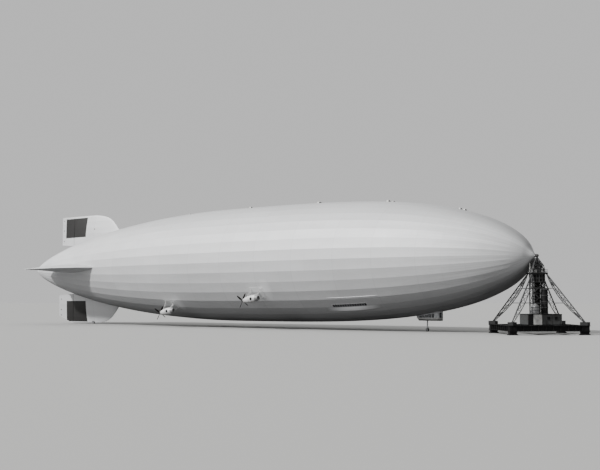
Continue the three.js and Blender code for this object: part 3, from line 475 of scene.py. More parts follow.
def uprights(plan, low, high, width):
    """Square bars that stand on the rows of a plan."""
    return bars(at_height(plan, low), at_height(plan, high), width)


def mast_place(points):
    """From the mast's own square axes to the frame: turned about its middle, then moved to it."""
    points = np.asarray(points, float)
    cos, sin = math.cos(MAST_TURN), math.sin(MAST_TURN)
    x = points[..., 0] * cos - points[..., 1] * sin + MAST_X
    y = points[..., 0] * sin + points[..., 1] * cos
    return np.stack([x, y, points[..., 2]], axis=-1)


def mast_piece(name, parts, material, slot="mast_steel", **more):
    """A piece whose parts are given in the mast's own axes."""
    return piece(name, parts.moved(mast_place), material, slot, **more)


def fin_place(side):
    """From an upright fin's station, thickness and height to the frame, turned round the axis."""
    turn = math.radians(FIN_TURNS[side])

    def place(points):
        """The points brought to the frame."""
        y = points[..., 1] * math.cos(turn) - points[..., 2] * math.sin(turn)
        z = points[..., 1] * math.sin(turn) + points[..., 2] * math.cos(turn)
        return np.stack([points[..., 0] + STERN_X, y, z + AXIS_Z], axis=-1)
    return place


def new_node(tree, kind, inputs, **settings):
    """A node with its settings, and each input linked or set."""
    node = tree.nodes.new(kind)
    for key, value in settings.items():
        setattr(node, key, value)
    for key, value in inputs.items():
        if isinstance(value, bpy.types.NodeSocket):
            tree.links.new(value, node.inputs[key])
        else:
            node.inputs[key].default_value = value
    return node


class Finish:
    """A material, with short calls for the nodes that repeat."""

    def __init__(self, name, color, roughness, metallic=0.0):
        """One surface with even values, and Object coordinates for what is added."""
        self.material = bpy.data.materials.new(name)
        self.material.use_nodes = True
        self.tree = self.material.node_tree
        self.surface = self.tree.nodes["Principled BSDF"]
        self.surface.inputs["Base Color"].default_value = (*color, 1)
        self.surface.inputs["Roughness"].default_value = roughness
        self.surface.inputs["Metallic"].default_value = metallic
        place = self.tree.nodes.new("ShaderNodeTexCoord")
        self.object = place.outputs["Object"]
        cover = self.tree.nodes.new("ShaderNodeUVMap")
        cover.uv_map = "cover"
        split = self.node("ShaderNodeSeparateXYZ", {"Vector": cover.outputs["UV"]})
        self.along, self.across = split.outputs["X"], split.outputs["Y"]

    def node(self, kind, inputs, **settings):
        """A node of this material."""
        return new_node(self.tree, kind, inputs, **settings)

    def math(self, operation, *values):
        """The result of a sum on one to three numbers."""
        inputs = dict(enumerate(values))
        return self.node("ShaderNodeMath", inputs, operation=operation).outputs[0]

    def times(self, first, second):
        """The product of two numbers."""
        return self.math("MULTIPLY", first, second)

    def noise(self, scale, detail=3.0, stretch=(1, 1, 1)):
        """Noise from 0 to 1 on the piece's own coordinates."""
        vector = self.node("ShaderNodeMapping", {"Vector": self.object, "Scale": stretch}).outputs[0]
        inputs = {"Vector": vector, "Scale": scale, "Detail": detail}
        return self.node("ShaderNodeTexNoise", inputs).outputs[0]

    def spread(self, value, low, high, to_low=0.0, to_high=1.0):
        """A value between low and high brought to another range, and held inside it."""
        inputs = {0: value, 1: low, 2: high, 3: to_low, 4: to_high}
        return self.node("ShaderNodeMapRange", inputs).outputs[0]

    def near_whole(self, value, half_width):
        """1 where a value lies within half_width of a whole number, else 0."""
        offset = self.math("PINGPONG", value, 0.5)
        return self.math("LESS_THAN", offset, half_width)

    def chance(self, first, second):
        """A random number from 0 to 1 for each pair of whole numbers below two values."""
        whole = {"X": self.math("FLOOR", first), "Y": self.math("FLOOR", second)}
        pair = self.node("ShaderNodeCombineXYZ", whole).outputs[0]
        return self.node("ShaderNodeTexWhiteNoise", {"Vector": pair}, noise_dimensions="3D").outputs["Value"]

    def mix(self, share, first, second):
        """Colour that goes from first to second."""
        first, second = (color if isinstance(color, bpy.types.NodeSocket) else (*color, 1)
                         for color in (first, second))
        inputs = {0: share, 6: first, 7: second}
        return self.node("ShaderNodeMix", inputs, data_type="RGBA").outputs[2]

    def use(self, socket, value):
        """Links a result to the surface."""
        self.tree.links.new(value, self.surface.inputs[socket])

    def bump(self, height, distance, strength):
        """Relief from a height, in metres at a height of 1."""
        inputs = {"Height": height, "Distance": distance, "Strength": strength}
        self.use("Normal", self.node("ShaderNodeBump", inputs).outputs[0])


def tint(base, factor):
    """A colour made paler or darker, and held at white."""
    return tuple(min(1, factor * share) for share in base)


def cloth_finish(name, base, panel=None, painted_shade_and_patches=False, faded=False):
    """Cloth doped with aluminium powder. Each strip between ridges has its own shade, each panel a
    fainter one; ridges and seams are taped lines; stains run round the hull. When asked for, painted
    shade darkens the strips underneath and on the crown towards the bow, and a brighter patch lies by
    each car's struts; a fine weave roughens it. A faded strip darkens at its ends."""
    finish = Finish(name, base, 0.60, 0.30)
    strip = finish.chance(0.0, finish.across)
    sheet = finish.chance(finish.times(finish.along, 1 / BAYS_PER_FRAME), finish.across)
    patch = finish.chance(finish.along, finish.across)
    stain = finish.noise(0.8, 4.0, (0.5, 1.4, 1.4))
    streak = finish.noise(2.4, 3.0, (0.25, 2.2, 2.2))
    shade = finish.spread(strip, 0, 1, -0.011, 0.011)
    for value, low, high, most in ((sheet, 0, 1, 0.009), (patch, 0, 1, 0.008), (stain, 0.3, 0.7, 0.018),
                                   (streak, 0.3, 0.7, 0.014)):
        shade = finish.math("ADD", shade, finish.spread(value, low, high, -most, most))
    frames = finish.times(finish.along, 1 / BAYS_PER_FRAME)
    line = finish.math("MAXIMUM", finish.times(finish.near_whole(finish.along, 0.022), 0.13),
                       finish.times(finish.near_whole(frames, 0.010), 0.28))
    line = finish.math("MAXIMUM", line, finish.times(finish.near_whole(finish.across, 0.014), 0.45))
    forward = finish.spread(finish.along, 40.0, 48.0)
    lanes = finish.times(finish.across, 3.0)
    thirds = finish.times(finish.near_whole(lanes, 0.060), 0.6)
    line = finish.math("MAXIMUM", line, finish.times(thirds, forward))
    lane = finish.spread(finish.chance(0.5, lanes), 0, 1, -0.034, 0.034)
    shade = finish.math("ADD", shade, finish.times(lane, forward))
    color = finish.mix(finish.spread(shade, -0.08, 0.08), tint(base, 0.86), tint(base, 1.14))
    color = finish.mix(finish.times(line, 0.5), color, tint(base, 0.60))
    if painted_shade_and_patches:
        # Painted shade: the strips round the bottom darken towards 0.38 of the cloth's tone, as the shade
        # under the belly.
        below = finish.math("ABSOLUTE", finish.math("SUBTRACT", finish.across, 27.0))
        belly_shade = finish.spread(below, 5.0, 2.0)
        belly_shade = finish.times(belly_shade, finish.spread(streak, 0.2, 0.8, 0.75, 1.0))
        color = finish.mix(belly_shade, color, tint(base, 0.38))
        # Painted shade: the top strips darken towards the bow, as the shade on a crown that faces away from
        # the lamp.
        above = finish.math("ABSOLUTE", finish.math("SUBTRACT", finish.across, 9.0))
        crown = finish.spread(above, 4.6, 1.2)
        crown = finish.times(crown, finish.spread(finish.along, 38.0, 51.0, 0.45, 1.0))
        color = finish.mix(crown, color, tint(base, 0.55))
        # A brighter patch on the cloth by each car's struts.
        color = finish.mix(finish.times(pale_patches(finish, below), 0.75), color, tint(base, 1.25))
    if panel:
        color = finish.mix(marked(finish, panel), color, PANEL_DARK)
    if faded:
        near = finish.math("PINGPONG", finish.along, 0.5)
        color = finish.mix(finish.spread(near, 0.02, 0.16, 0.85, 0.0), color, tint(base, 0.62))
    finish.use("Base Color", color)
    finish.use("Roughness", finish.spread(stain, 0.3, 0.7, 0.56, 0.64))
    weave = finish.noise(260.0, 2.0)
    height = finish.math("ADD", finish.times(weave, 0.25), finish.times(line, 0.8))
    finish.bump(height, 0.0010, 0.4)
    return finish.material


def pale_patches(finish, below):
    """1 in the middle of the brighter patch by each engine car's struts, 0 outside its oval."""
    shares = []
    for station, y, z in (CAR_PLACES["front_port"], CAR_PLACES["rear_port"]):
        ahead, half, strips = PALE_PATCH
        bay = bay_number(station + ahead)
        bays = bay_number(station + ahead + half) - bay
        strip = (90 + math.degrees(math.atan2(z, y))) * HULL_SIDES / 360 + 0.3
        along = finish.times(finish.math("SUBTRACT", finish.along, float(bay)), float(1 / bays))
        across = finish.times(finish.math("SUBTRACT", below, strip), 1 / strips)
        squares = [finish.times(value, value) for value in (along, across)]
        shares.append(finish.spread(finish.math("ADD", *squares), 1.0, 0.0))
    return finish.math("MAXIMUM", *shares)


def marked(finish, side):
    """1 inside the plain dark panel that lies across a rudder's hinge, else 0."""
    inside = 1.0
    for value, (low, high) in zip((finish.along, finish.across), MARKED_PANELS[side]):
        inside = finish.times(inside, finish.math("GREATER_THAN", value, low * 2))
        inside = finish.times(inside, finish.math("LESS_THAN", value, high * 2))
    return inside


def metal_finish(name, base, roughness, metallic, wear, scale=14.0, gloss=0.5, dark_foot=False):
    """Painted or bare metal: a soft change of shade, darker dirt in patches, and a fine grain. A
    mast leg is painted black at its foot, as the girders are."""
    finish = Finish(name, base, roughness, metallic)
    finish.surface.inputs["Specular IOR Level"].default_value = gloss
    patch = finish.noise(scale, 5.0)
    fine = finish.noise(scale * 9, 3.0)
    dirt = finish.spread(patch, 0.45, 0.75)
    darker, lighter = tint(base, 0.86), tint(base, 1.12)
    color = finish.mix(finish.spread(fine, 0.3, 0.7), darker, lighter)
    color = finish.mix(finish.times(dirt, 0.7), color, wear)
    if dark_foot:
        height = finish.node("ShaderNodeSeparateXYZ", {"Vector": finish.object}).outputs["Z"]
        color = finish.mix(finish.spread(height, DECK + 0.13, DECK + 0.10), color, (0.018, 0.018, 0.018))
    finish.use("Base Color", color)
    finish.use("Roughness", finish.spread(patch, 0.3, 0.8, roughness - 0.08, min(1, roughness + 0.18)))
    finish.bump(fine, 0.0006, 0.4)
    return finish.material


def glass_finish(name, color, transmission):
    """Window glass: clear, slightly tinted, with a faint ripple."""
    finish = Finish(name, color, 0.06)
    finish.surface.inputs["Transmission Weight"].default_value = transmission
    finish.surface.inputs["IOR"].default_value = 1.45
    finish.bump(finish.noise(30.0, 2.0), 0.0004, 0.3)
    return finish.material


CLOTH = (0.79, 0.795, 0.80)
PANEL_DARK = (0.028, 0.027, 0.026)
hull_cloth = cloth_finish("hull_cloth", CLOTH, painted_shade_and_patches=True)
fin_cloth = cloth_finish("fin_cloth", CLOTH)
FIN_CLOTHS = {side: cloth_finish(f"fin_cloth_{side}", CLOTH, panel=side) for side in MARKED_PANELS}
pale_cloth = cloth_finish("pale_cloth", (0.82, 0.825, 0.83), faded=True)
nose_metal = cloth_finish("nose_metal", CLOTH, painted_shade_and_patches=True)
bare_metal = metal_finish("bare_metal", (0.55, 0.56, 0.57), 0.40, 0.7, (0.25, 0.25, 0.25))
car_white = metal_finish("car_white", (0.90, 0.90, 0.885), 0.35, 0.05, (0.45, 0.44, 0.42))
machine_grey = metal_finish("machine_grey", (0.05, 0.052, 0.055), 0.55, 0.3, (0.09, 0.08, 0.07))
mast_steel = metal_finish("mast_steel", (0.065, 0.066, 0.068), 0.58, 0.15, (0.045, 0.040, 0.035))
leg_steel = metal_finish("leg_steel", (0.075, 0.076, 0.078), 0.58, 0.15, (0.050, 0.045, 0.040),
                         dark_foot=True)
tank_grey = metal_finish("tank_grey", (0.36, 0.365, 0.37), 0.50, 0.2, (0.18, 0.17, 0.16))
mast_black = metal_finish("mast_black", (0.014, 0.014, 0.015), 0.65, 0.0, (0.030, 0.027, 0.024), gloss=0.15)
drum_paint = metal_finish("drum_paint", (0.018, 0.018, 0.019), 0.65, 0.0, (0.035, 0.032, 0.030), gloss=0.12)
rib_steel = metal_finish("rib_steel", (0.11, 0.11, 0.112), 0.50, 0.2, (0.05, 0.045, 0.040))
cowl_grey = metal_finish("cowl_grey", (0.42, 0.42, 0.42), 0.45, 0.2, (0.25, 0.25, 0.25))
shutter_grey = metal_finish("shutter_grey", (0.15, 0.15, 0.15), 0.55, 0.2, (0.08, 0.08, 0.08))
smoked_glass = metal_finish("smoked_glass", (0.010, 0.011, 0.012), 0.30, 0.0, (0.016, 0.016, 0.016),
                            gloss=0.2)
pale_metal = metal_finish("pale_metal", (0.62, 0.62, 0.61), 0.45, 0.2, (0.40, 0.39, 0.37))
house_paint = metal_finish("house_paint", (0.085, 0.087, 0.087), 0.60, 0.0, (0.055, 0.050, 0.045), gloss=0.3)
strut_paint = metal_finish("strut_paint", (0.66, 0.66, 0.65), 0.50, 0.0, (0.50, 0.49, 0.47), 5.0)
pale_paint = metal_finish("pale_paint", (0.70, 0.70, 0.68), 0.50, 0.0, (0.40, 0.38, 0.35))
dark_wood = metal_finish("dark_wood", (0.014, 0.012, 0.011), 0.45, 0.0, (0.03, 0.026, 0.022), 22.0, gloss=0.2)
tyre_rubber = metal_finish("tyre_rubber", (0.020, 0.020, 0.020), 0.80, 0.0, (0.06, 0.055, 0.05), 40.0)
window_glass = glass_finish("window_glass", (0.10, 0.11, 0.12), 0.45)
dark_glass = glass_finish("dark_glass", (0.015, 0.017, 0.020), 0.0)


def hull_covers():
    """The cloth over each length of hull: a tube of flat facets with crisp ridges, closed at its
    ends round the thickness of the wall."""
    degrees = ROUND_HULL
    for name, (low, high) in HULL_LENGTHS.items():
        step = 0.05 if name == "hull_bow" else 0.1
        station = np.linspace(low, high, int(round((high - low) / step)) + 1)
        place = np.clip(station, low + SEAT / 2, high - SEAT / 2)
        outer = hull_point(station[:, None], degrees[None], sag=cloth_sag(station)[:, None])
        outer[..., 0] = STERN_X + place[:, None]
        inner = hull_point(station[::-6, None], degrees[None], lift=-HULL_WALL)
        inner[..., 0] = STERN_X + place[::-6, None]
        points = np.concatenate([outer, inner, outer[:1]])
        bays = bay_number(np.concatenate([station, station[::-6], station[:1]]))
        piece(f"{name}_cover", Parts().grid(points, hull_texture(bays, degrees)), hull_cloth, "hull_cloth",
              replaces=[name], crease=6)


def tail_cone_cover():
    """The hull's last stretch, aft of the stern post, drawn in to a small round tip."""
    degrees = ROUND_HULL
    share = np.linspace(0, 1, 30)
    station = TAIL_STATION * (1 - (1 - share) ** 1.8)
    place = np.minimum(station, -SEAT / 2)
    outer = hull_point(station[:, None], degrees[None])
    outer[..., 0] = STERN_X + place[:, None]
    tip = np.repeat([[[STERN_X + TAIL_STATION + 0.02, 0, AXIS_Z]]], len(degrees), axis=1)
    middle = np.repeat([[[STERN_X - SEAT / 2, 0, AXIS_Z]]], len(degrees), axis=1)
    points = np.concatenate([middle, outer, tip])
    texture = hull_texture(-np.linspace(0, 2, len(points)), degrees)
    piece("tail_cone_cover", Parts().grid(points, texture), hull_cloth, "hull_cloth",
          replaces=["tail_cone"], crease=6)


def fin_thickness(share):
    """Half thickness over its greatest, at the share t of the chord from rear to leading edge:
    sqrt(1 - t) (0.46 + 2.6 t - 1.4 t^2)."""
    return np.sqrt(np.clip(1 - share, 0, 1)) * (REAR_SHARE + 2.6 * share - 1.4 * share**2)


def fin_surface(reach, level):
    """A fin's skin, rounded off over the last of its height. On a level fin the leading edge runs
    further forward the nearer it is to the hull."""
    rounding = reach - FIN_ROUNDING * np.cos(np.linspace(0, np.pi / 2, 8))[1:]
    height = np.concatenate([np.linspace(0.5, reach - FIN_ROUNDING, 90), rounding])
    leading, half = smooth_table(height, FIN_TABLE).T
    if level:
        nearness = (LEVEL_ROOT["from"] - height) / (LEVEL_ROOT["from"] - LEVEL_ROOT["full"])
        leading = leading + LEVEL_ROOT["ahead"] * np.clip(nearness, 0, 1)
    rear = HINGE_STATION + REAR_SHARE * half + RUDDER_GAP
    turn = np.linspace(0, np.pi, 49)
    share = np.sin(turn / 2) ** 1.2
    thick = fin_thickness(share)
    past = ((height - (reach - FIN_ROUNDING)) / FIN_ROUNDING).clip(0, 1)
    rounded = np.sqrt(np.clip(1 - past**2, 0, 1))
    x = rear[:, None] + share[None] * (leading - rear)[:, None]
    rib = 0.0025 * np.abs(np.sin(np.pi * (height / RIB_PITCH)))[:, None] * np.sin(np.pi * share)[None]
    y = (half[:, None] * thick[None] - rib) * rounded[:, None]
    y = np.maximum(y, 0)
    z = np.repeat(height[:, None], len(share), axis=1)
    port = np.stack([x, y, z], axis=2)
    starboard = np.stack([x, -y, z], axis=2)[:, ::-1]
    middle = np.stack([rear, np.zeros(len(rear)), height], axis=1)[:, None]
    return np.concatenate([port, starboard[:, 1:], middle, port[:, :1]], axis=1)


def closed_ends(points):
    """Closes the first and last rows of a grid on their own middle line."""
    low, high = points[:1].copy(), points[-1:].copy()
    low[..., 1] = 0
    high[..., 1] = 0
    return np.concatenate([low, points, high])


def fins():
    """Four fins with the same skin, the lower one shorter and cut out round its wheel."""
    for side in FIN_TURNS:
        level = side in ("port", "starboard")
        points = closed_ends(fin_surface(LOWER_REACH if side == "lower" else FIN_REACH, level))
        texture = points[..., [0, 2]] * 2
        parts = Parts().grid(fin_place(side)(points), texture)
        thing = piece(f"fin_{side}_cover", parts, FIN_CLOTHS.get(side, fin_cloth), "fin_cloth",
                      replaces=[f"fin_{side}"], crease=30)
        if side == "lower":
            low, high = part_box("landing_wheel_tail")
            carve(thing, [low[0] - 0.028, -0.3, -0.1], [high[0] + 0.028, 0.3, high[2] + 0.020])


def carve(thing, low, high):
    """Cuts a box out of a piece."""
    low, high = np.array(low), np.array(high)
    points, quads = bars([(low[0], (low[1] + high[1]) / 2, (low[2] + high[2]) / 2)],
                         [(high[0], (low[1] + high[1]) / 2, (low[2] + high[2]) / 2)],
                         high[1] - low[1], high[2] - low[2])
    cut_with(thing, cutter_from(points, quads))


def cutter_from(points, quads):
    """A closed object for cut_with, its doubled points merged and its faces outwards."""
    mesh = bpy.data.meshes.new("cutter")
    mesh.from_pydata(points, [], quads)
    merge_doubled(mesh)
    return linked("cutter", mesh)


def cut_with(thing, cutter):
    """Takes the cutter's volume out of a piece, merges what lies closer than CUT_WELD at the cut,
    and removes the cutter."""
    change = thing.modifiers.new("cut", "BOOLEAN")
    change.operation, change.solver, change.object = "DIFFERENCE", "EXACT", cutter
    depsgraph = bpy.context.evaluated_depsgraph_get()
    mesh = bpy.data.meshes.new_from_object(thing.evaluated_get(depsgraph))
    thing.modifiers.clear()
    shape = bmesh.new()
    shape.from_mesh(mesh)
    bmesh.ops.remove_doubles(shape, verts=shape.verts, dist=CUT_WELD)
    bmesh.ops.dissolve_degenerate(shape, edges=shape.edges, dist=CUT_WELD)
    shape.to_mesh(mesh)
    shape.free()
    mesh.set_sharp_from_angle(angle=math.radians(35))
    thing.data = mesh
    bpy.data.objects.remove(cutter)


def rudder_surface(reach, trimmed):
    """A rudder's skin about its hinge: a round nose of radius r, then a straight taper to the
    trailing edge; the inboard and outboard edges are straight lines in side view."""
    tail = RUDDER_TAIL - HINGE_STATION
    nose = np.radians(np.linspace(-90, 90, 17))
    flat = np.linspace(0, 1, 25)[1:]
    share = np.linspace(0, 1, 50)
    x_flat = tail * flat
    x_line = np.concatenate([np.zeros(17), x_flat, [tail], x_flat[::-1], [0]])
    root = RUDDER_ROOT[0] + (RUDDER_ROOT[1] - RUDDER_ROOT[0]) * x_line / tail
    tip = np.full(len(x_line), reach)
    if trimmed:
        start = TRIM[0] - HINGE_STATION
        drop = np.clip((x_line - start) / (tail - start), 0, 1)
        tip = reach - drop * (reach - TRIM[1])
    height = root[None] + share[:, None] * (tip - root)[None]
    half = smooth_table(height, FIN_TABLE)[..., 1] * REAR_SHARE
    x = np.concatenate([np.cos(nose), np.zeros(2 * len(flat) + 2)])[None] * half + x_line[None]
    side = half + (RUDDER_EDGE - half) * np.clip(x_line / tail, 0, 1)[None]
    sign = np.concatenate([np.sin(nose), np.ones(len(flat)), [0], -np.ones(len(flat)), [-1]])
    rib = 0.0015 * np.abs(np.sin(np.pi * height / RIB_PITCH))
    rib = rib * np.sin(np.pi * np.clip(x_line / tail, 0, 1))[None]
    return np.stack([x, (side - rib) * sign[None], height], axis=2)


def rudders():
    """Rudders and elevators on their hinges, the lower rudder turned to starboard."""
    for name, (side, reach, trimmed, turn) in CONTROL_SURFACES.items():
        flat = closed_ends(rudder_surface(reach, trimmed))
        texture = (flat[..., [0, 2]] + [HINGE_STATION, 0]) * 2
        cos, sin = math.cos(math.radians(turn)), math.sin(math.radians(turn))
        x = flat[..., 0] * cos - flat[..., 1] * sin + HINGE_STATION
        y = flat[..., 0] * sin + flat[..., 1] * cos
        points = fin_place(side)(np.stack([x, y, flat[..., 2]], axis=2))
        piece(f"{name}_cover", Parts().grid(points, texture), FIN_CLOTHS.get(side, fin_cloth), "fin_cloth",
              name, [name], 30)


def car_place(name):
    """From an engine car's own axes to the frame: tilted nose up, then moved to its middle."""
    station, y, z = CAR_PLACES[name]
    cos, sin = math.cos(CAR_TILT), math.sin(CAR_TILT)

    def place(points):
        """The points brought to the frame."""
        x, up = points[..., 0], points[..., 2]
        return np.stack([STERN_X + station + x * cos - up * sin, points[..., 1] + y,
                         AXIS_Z + z + x * sin + up * cos], axis=-1)
    return place


def car_windows(parts, panes):
    """Round side windows of a car: a glass disc in a raised ring on each side."""
    x, radius = CAR_WINDOW
    reach = float(smooth_table(np.array([x]), CAR_TABLE)[0, 0])
    for side in (-1, 1):
        flat = turned([(0, 0), (0, radius + 0.002), (0.003 * side, radius + 0.002), (0.003 * side, 0)], 28,
                      (x, side * (reach - 0.021), 0), "y")
        panes.grid(flat if side > 0 else flat[::-1])
        ring = turned(arc((0, radius), 0.0052, 0, 360, 9), 40, (x, 0, 0), "y")
        there = smooth_table(ring[..., 0].ravel(), CAR_TABLE)[:, 0].reshape(ring.shape[:2])
        ring[..., 1] = side * (ring[..., 1] + np.sqrt(there**2 - ring[..., 2] ** 2))
        parts.grid(ring)


def engine_cars():
    """Each car is a smooth egg round its axis with a wall of its own, cut for two round windows,
    with bands round it, a grey cowl, and a rolled lip and shutters in the intake in front."""
    share = np.linspace(0, 1, 40)
    x = CAR_TABLE[0, 0] + share * (CAR_TABLE[-1, 0] - CAR_TABLE[0, 0])
    radius = smooth_table(x, CAR_TABLE)[:, 0]
    lip = arc(CAR_LIP["middle"], CAR_LIP["radius"], 90, -90, 7)
    inner = np.stack([x[::-3], radius[::-3] - CAR_WALL], axis=1)
    inner = inner[(inner[:, 0] < 0.30) & (inner[:, 0] > -0.35)]
    seam = np.searchsorted(x, CAR_COWL)
    shell = np.concatenate([[[-0.39, 0]], np.stack([x[:seam + 1], radius[:seam + 1]], axis=1)])
    cowl = np.concatenate([np.stack([x[seam:-1], radius[seam:-1]], axis=1), lip, [[0.30, 0.060]], inner,
                           [[-0.35, 0]]])
    for name in CAR_PLACES:
        place = car_place(name)
        body = Parts().grid(turned(shell, 48)).grid(turned(cowl, 48), kind=1)
        egg = piece(f"engine_car_{name}_shell", body.moved(place), [car_white, cowl_grey], "car_white",
                    replaces=[f"engine_car_{name}"])
        hole = turned([(-0.2, 0), (-0.2, CAR_WINDOW[1]), (0.2, CAR_WINDOW[1]), (0.2, 0)], 28,
                      (CAR_WINDOW[0], 0, 0), "y")
        cutter = Parts().grid(hole).moved(place)
        cut_with(egg, cutter_from(cutter.points[0], cutter.quads[0]))
        rings, panes, bands = Parts(), Parts(), Parts()
        car_windows(rings, panes)
        for station in CAR_BANDS:
            reach = float(smooth_table(np.array([station]), CAR_TABLE)[0, 0])
            turn = np.linspace(0, 2 * np.pi, 49)[:-1]
            path = np.stack([np.full(48, station), reach * np.cos(turn), reach * np.sin(turn)], axis=1)
            bands.grid(tube(path, 0.0022, 6, closed=True))
        piece(f"car_window_rings_{name}", rings.moved(place), machine_grey, "machine_grey")
        piece(f"car_window_panes_{name}", panes.moved(place), smoked_glass, "window_glass")
        piece(f"car_bands_{name}", bands.moved(place), bare_metal, "bare_metal")
        grille = Parts()
        level = np.linspace(-1, 1, CAR_SHUTTERS["count"]) * CAR_SHUTTERS["half_height"]
        reach = np.sqrt(CAR_SHUTTERS["radius"]**2 - level**2)
        front = np.full(len(level), CAR_SHUTTERS["station"])
        slats = [np.stack([front, side * reach, level], axis=1) for side in (-1, 1)]
        grille.bars(*slats, 0.004, 0.009)
        piece(f"car_shutters_{name}", grille.moved(place), shutter_grey, "machine_grey")


def strut_plates():
    """Cloth laid over the plate that carries a car's struts: level over the plate, and down to the
    hull round its edge."""
    level, rim = 0.0058, 0.055
    share = np.linspace(-1, 1, 49)
    for name, (station, y, z) in CAR_PLACES.items():
        middle = math.degrees(math.atan2(z, y)) % 360
        slopes = []
        for half in STRUT_PLATE:
            fall = np.clip((half + rim - np.abs(share) * (half + rim)) / (rim - 0.006), 0, 1)
            slopes.append(fall**2 * (3 - 2 * fall))
        stations = station + share * (STRUT_PLATE[0] + rim)
        degrees = middle + share * np.degrees((STRUT_PLATE[1] + rim) / hull_radius(station))
        parts, texture = Parts(), hull_texture(bay_number(stations), degrees)
        taut = slopes[0][:, None] * slopes[1][None]
        lift = 0.0002 + level * taut
        upper, under = hull_band(stations, degrees, lift, taut=taut)
        edged = np.pad(texture, ((1, 1), (1, 1), (0, 0)), mode="edge")
        parts.grid(upper, edged).grid(under, texture)
        piece(f"strut_plate_{name}", parts, hull_cloth, "hull_cloth")


def propeller_blade(turn):
    """One blade: round each section, chord and thickness follow a flat oval whose thickest place
    is ahead of its middle; the section is turned by its pitch, and the tip is rounded off."""
    rounding = 0.285 + 0.015 * np.sin(np.linspace(0, np.pi / 2, 7))[1:]
    reach = np.concatenate([np.linspace(0.018, 0.285, 22), rounding])
    chord, thick, pitch = smooth_table(reach, BLADE_TABLE).T
    rounded = np.sqrt(np.clip(1 - ((reach - 0.285) / 0.0151).clip(0, 1) ** 2, 0, 1))
    around = np.linspace(0, 2 * np.pi, 17)
    c = (chord * rounded)[:, None] * 0.5 * np.cos(around)[None]
    t = (thick * rounded)[:, None] * 0.5 * (np.sin(around) * (1 - 0.25 * np.cos(around)))[None]
    pitch = np.radians(pitch)[:, None]
    x = c * np.sin(pitch) + t * np.cos(pitch) - BLADE_BEHIND
    y = c * np.cos(pitch) - t * np.sin(pitch)
    z = np.repeat(reach[:, None], 17, axis=1)
    cos, sin = math.cos(turn), math.sin(turn)
    return np.stack([x, y * cos - z * sin, y * sin + z * cos], axis=2)


def propellers():
    """Four smooth blades on a pointed hub behind each car."""
    for name in CAR_PLACES:
        place = car_place(name)
        parts = Parts().grid(turned(np.array(HUB_OUTLINE)[::-1], 32))
        for i in range(BLADE_COUNT):
            blade = propeller_blade(math.radians(BLADE_TURN + 360 * i / BLADE_COUNT))
            ends = [np.repeat(blade[k].mean(axis=0)[None, None], 17, axis=1) for k in (0, -1)]
            parts.grid(np.concatenate([ends[0], blade, ends[1]]))
        parts.moved(lambda points: points + [CAR_BACK, 0, 0]).moved(place)
        piece(f"propeller_{name}_blades", parts, dark_wood, "dark_wood", f"propeller_{name}",
              [f"propeller_{name}"], crease=50)


def nose_cover():
    """The nose cap in the hull's silver: its facets fade to a round tip, which carries the turned
    mooring spindle. The radius is the hull's as far as the last ring, then a cubic to the tip."""
    degrees = ROUND_HULL
    station = np.linspace(*NOSE_STATIONS, 26)
    tip = np.array([(NOSE_STATIONS[1], float(hull_radius(NOSE_STATIONS[1]))), *NOSE_TIP])
    front = np.linspace(tip[0, 0], tip[-1, 0], 14)[1:]
    radius = np.concatenate([hull_radius(station), smooth_table(front, tip)[:, 0]])
    station = np.concatenate([station, front])
    past = np.radians(np.mod(degrees, 10) - 5)
    flat = np.cos(np.radians(5)) / np.cos(past)
    fade = np.clip((NOSE_STATIONS[1] - station) / (NOSE_STATIONS[1] - NOSE_STATIONS[0]), 0, 1)
    across = radius[:, None] * (1 + (flat[None] - 1) * fade[:, None])
    turn = np.radians(degrees)
    spindle = np.array(SPINDLE)
    across = np.concatenate([across, np.repeat(spindle[:, 1:], len(degrees), axis=1)])
    along = np.concatenate([station, spindle[:, 0]])
    along[0] += SEAT / 2
    outer = np.stack([STERN_X + np.repeat(along[:, None], len(degrees), axis=1),
                      across * np.cos(turn)[None], AXIS_Z + across * np.sin(turn)[None]], axis=2)
    back, wall = NOSE_STATIONS[0], 23.2
    room = hull_point(np.linspace(wall, back, 6)[:, None], degrees[None], lift=-HULL_WALL)
    room[-1, :, 0] = outer[0, :, 0]
    middle = np.repeat([[[STERN_X + wall, 0, AXIS_Z]]], len(degrees), axis=1)
    points = np.concatenate([middle, room, outer])
    bay = np.interp(np.concatenate([np.full(7, back), along]), [back, 23.5], [51.2, 51.8])
    piece("nose_cover", Parts().grid(points, hull_texture(bay, degrees)), nose_metal, "bare_metal",
          replaces=["nose_cap"], crease=8)


def mooring_cup():
    """The cup on the mast's head: a turned bell with a rim, a rib and a cap, hollow to the
    spindle's cone, with studs behind its rim, on a flanged post."""
    start = STERN_X + CUP["start"]
    parts = Parts().grid(turned(CUP_BELL, 64, (start, 0, AXIS_Z)))
    turn = np.radians(np.arange(15, 375, 30))
    stud = np.column_stack([np.full(12, start + 0.009), 0.0465 * np.cos(turn),
                            AXIS_Z + 0.0465 * np.sin(turn)])
    parts.bars(stud, stud + [0.010, 0, 0], 0.006)
    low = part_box("mooring_cup")[0][2]
    post = [(low, 0), (low, CUP["foot"]), (low + 0.009, CUP["foot"]), (low + 0.013, 0.027),
            (AXIS_Z - 0.052, 0.025), (AXIS_Z - 0.034, 0.031), (AXIS_Z - 0.030, 0.0)]
    parts.grid(turned(post, 40, (start + 0.047, 0, 0), "z"))
    piece("mooring_cup_bell", parts, machine_grey, "machine_grey", replaces=["mooring_cup"])


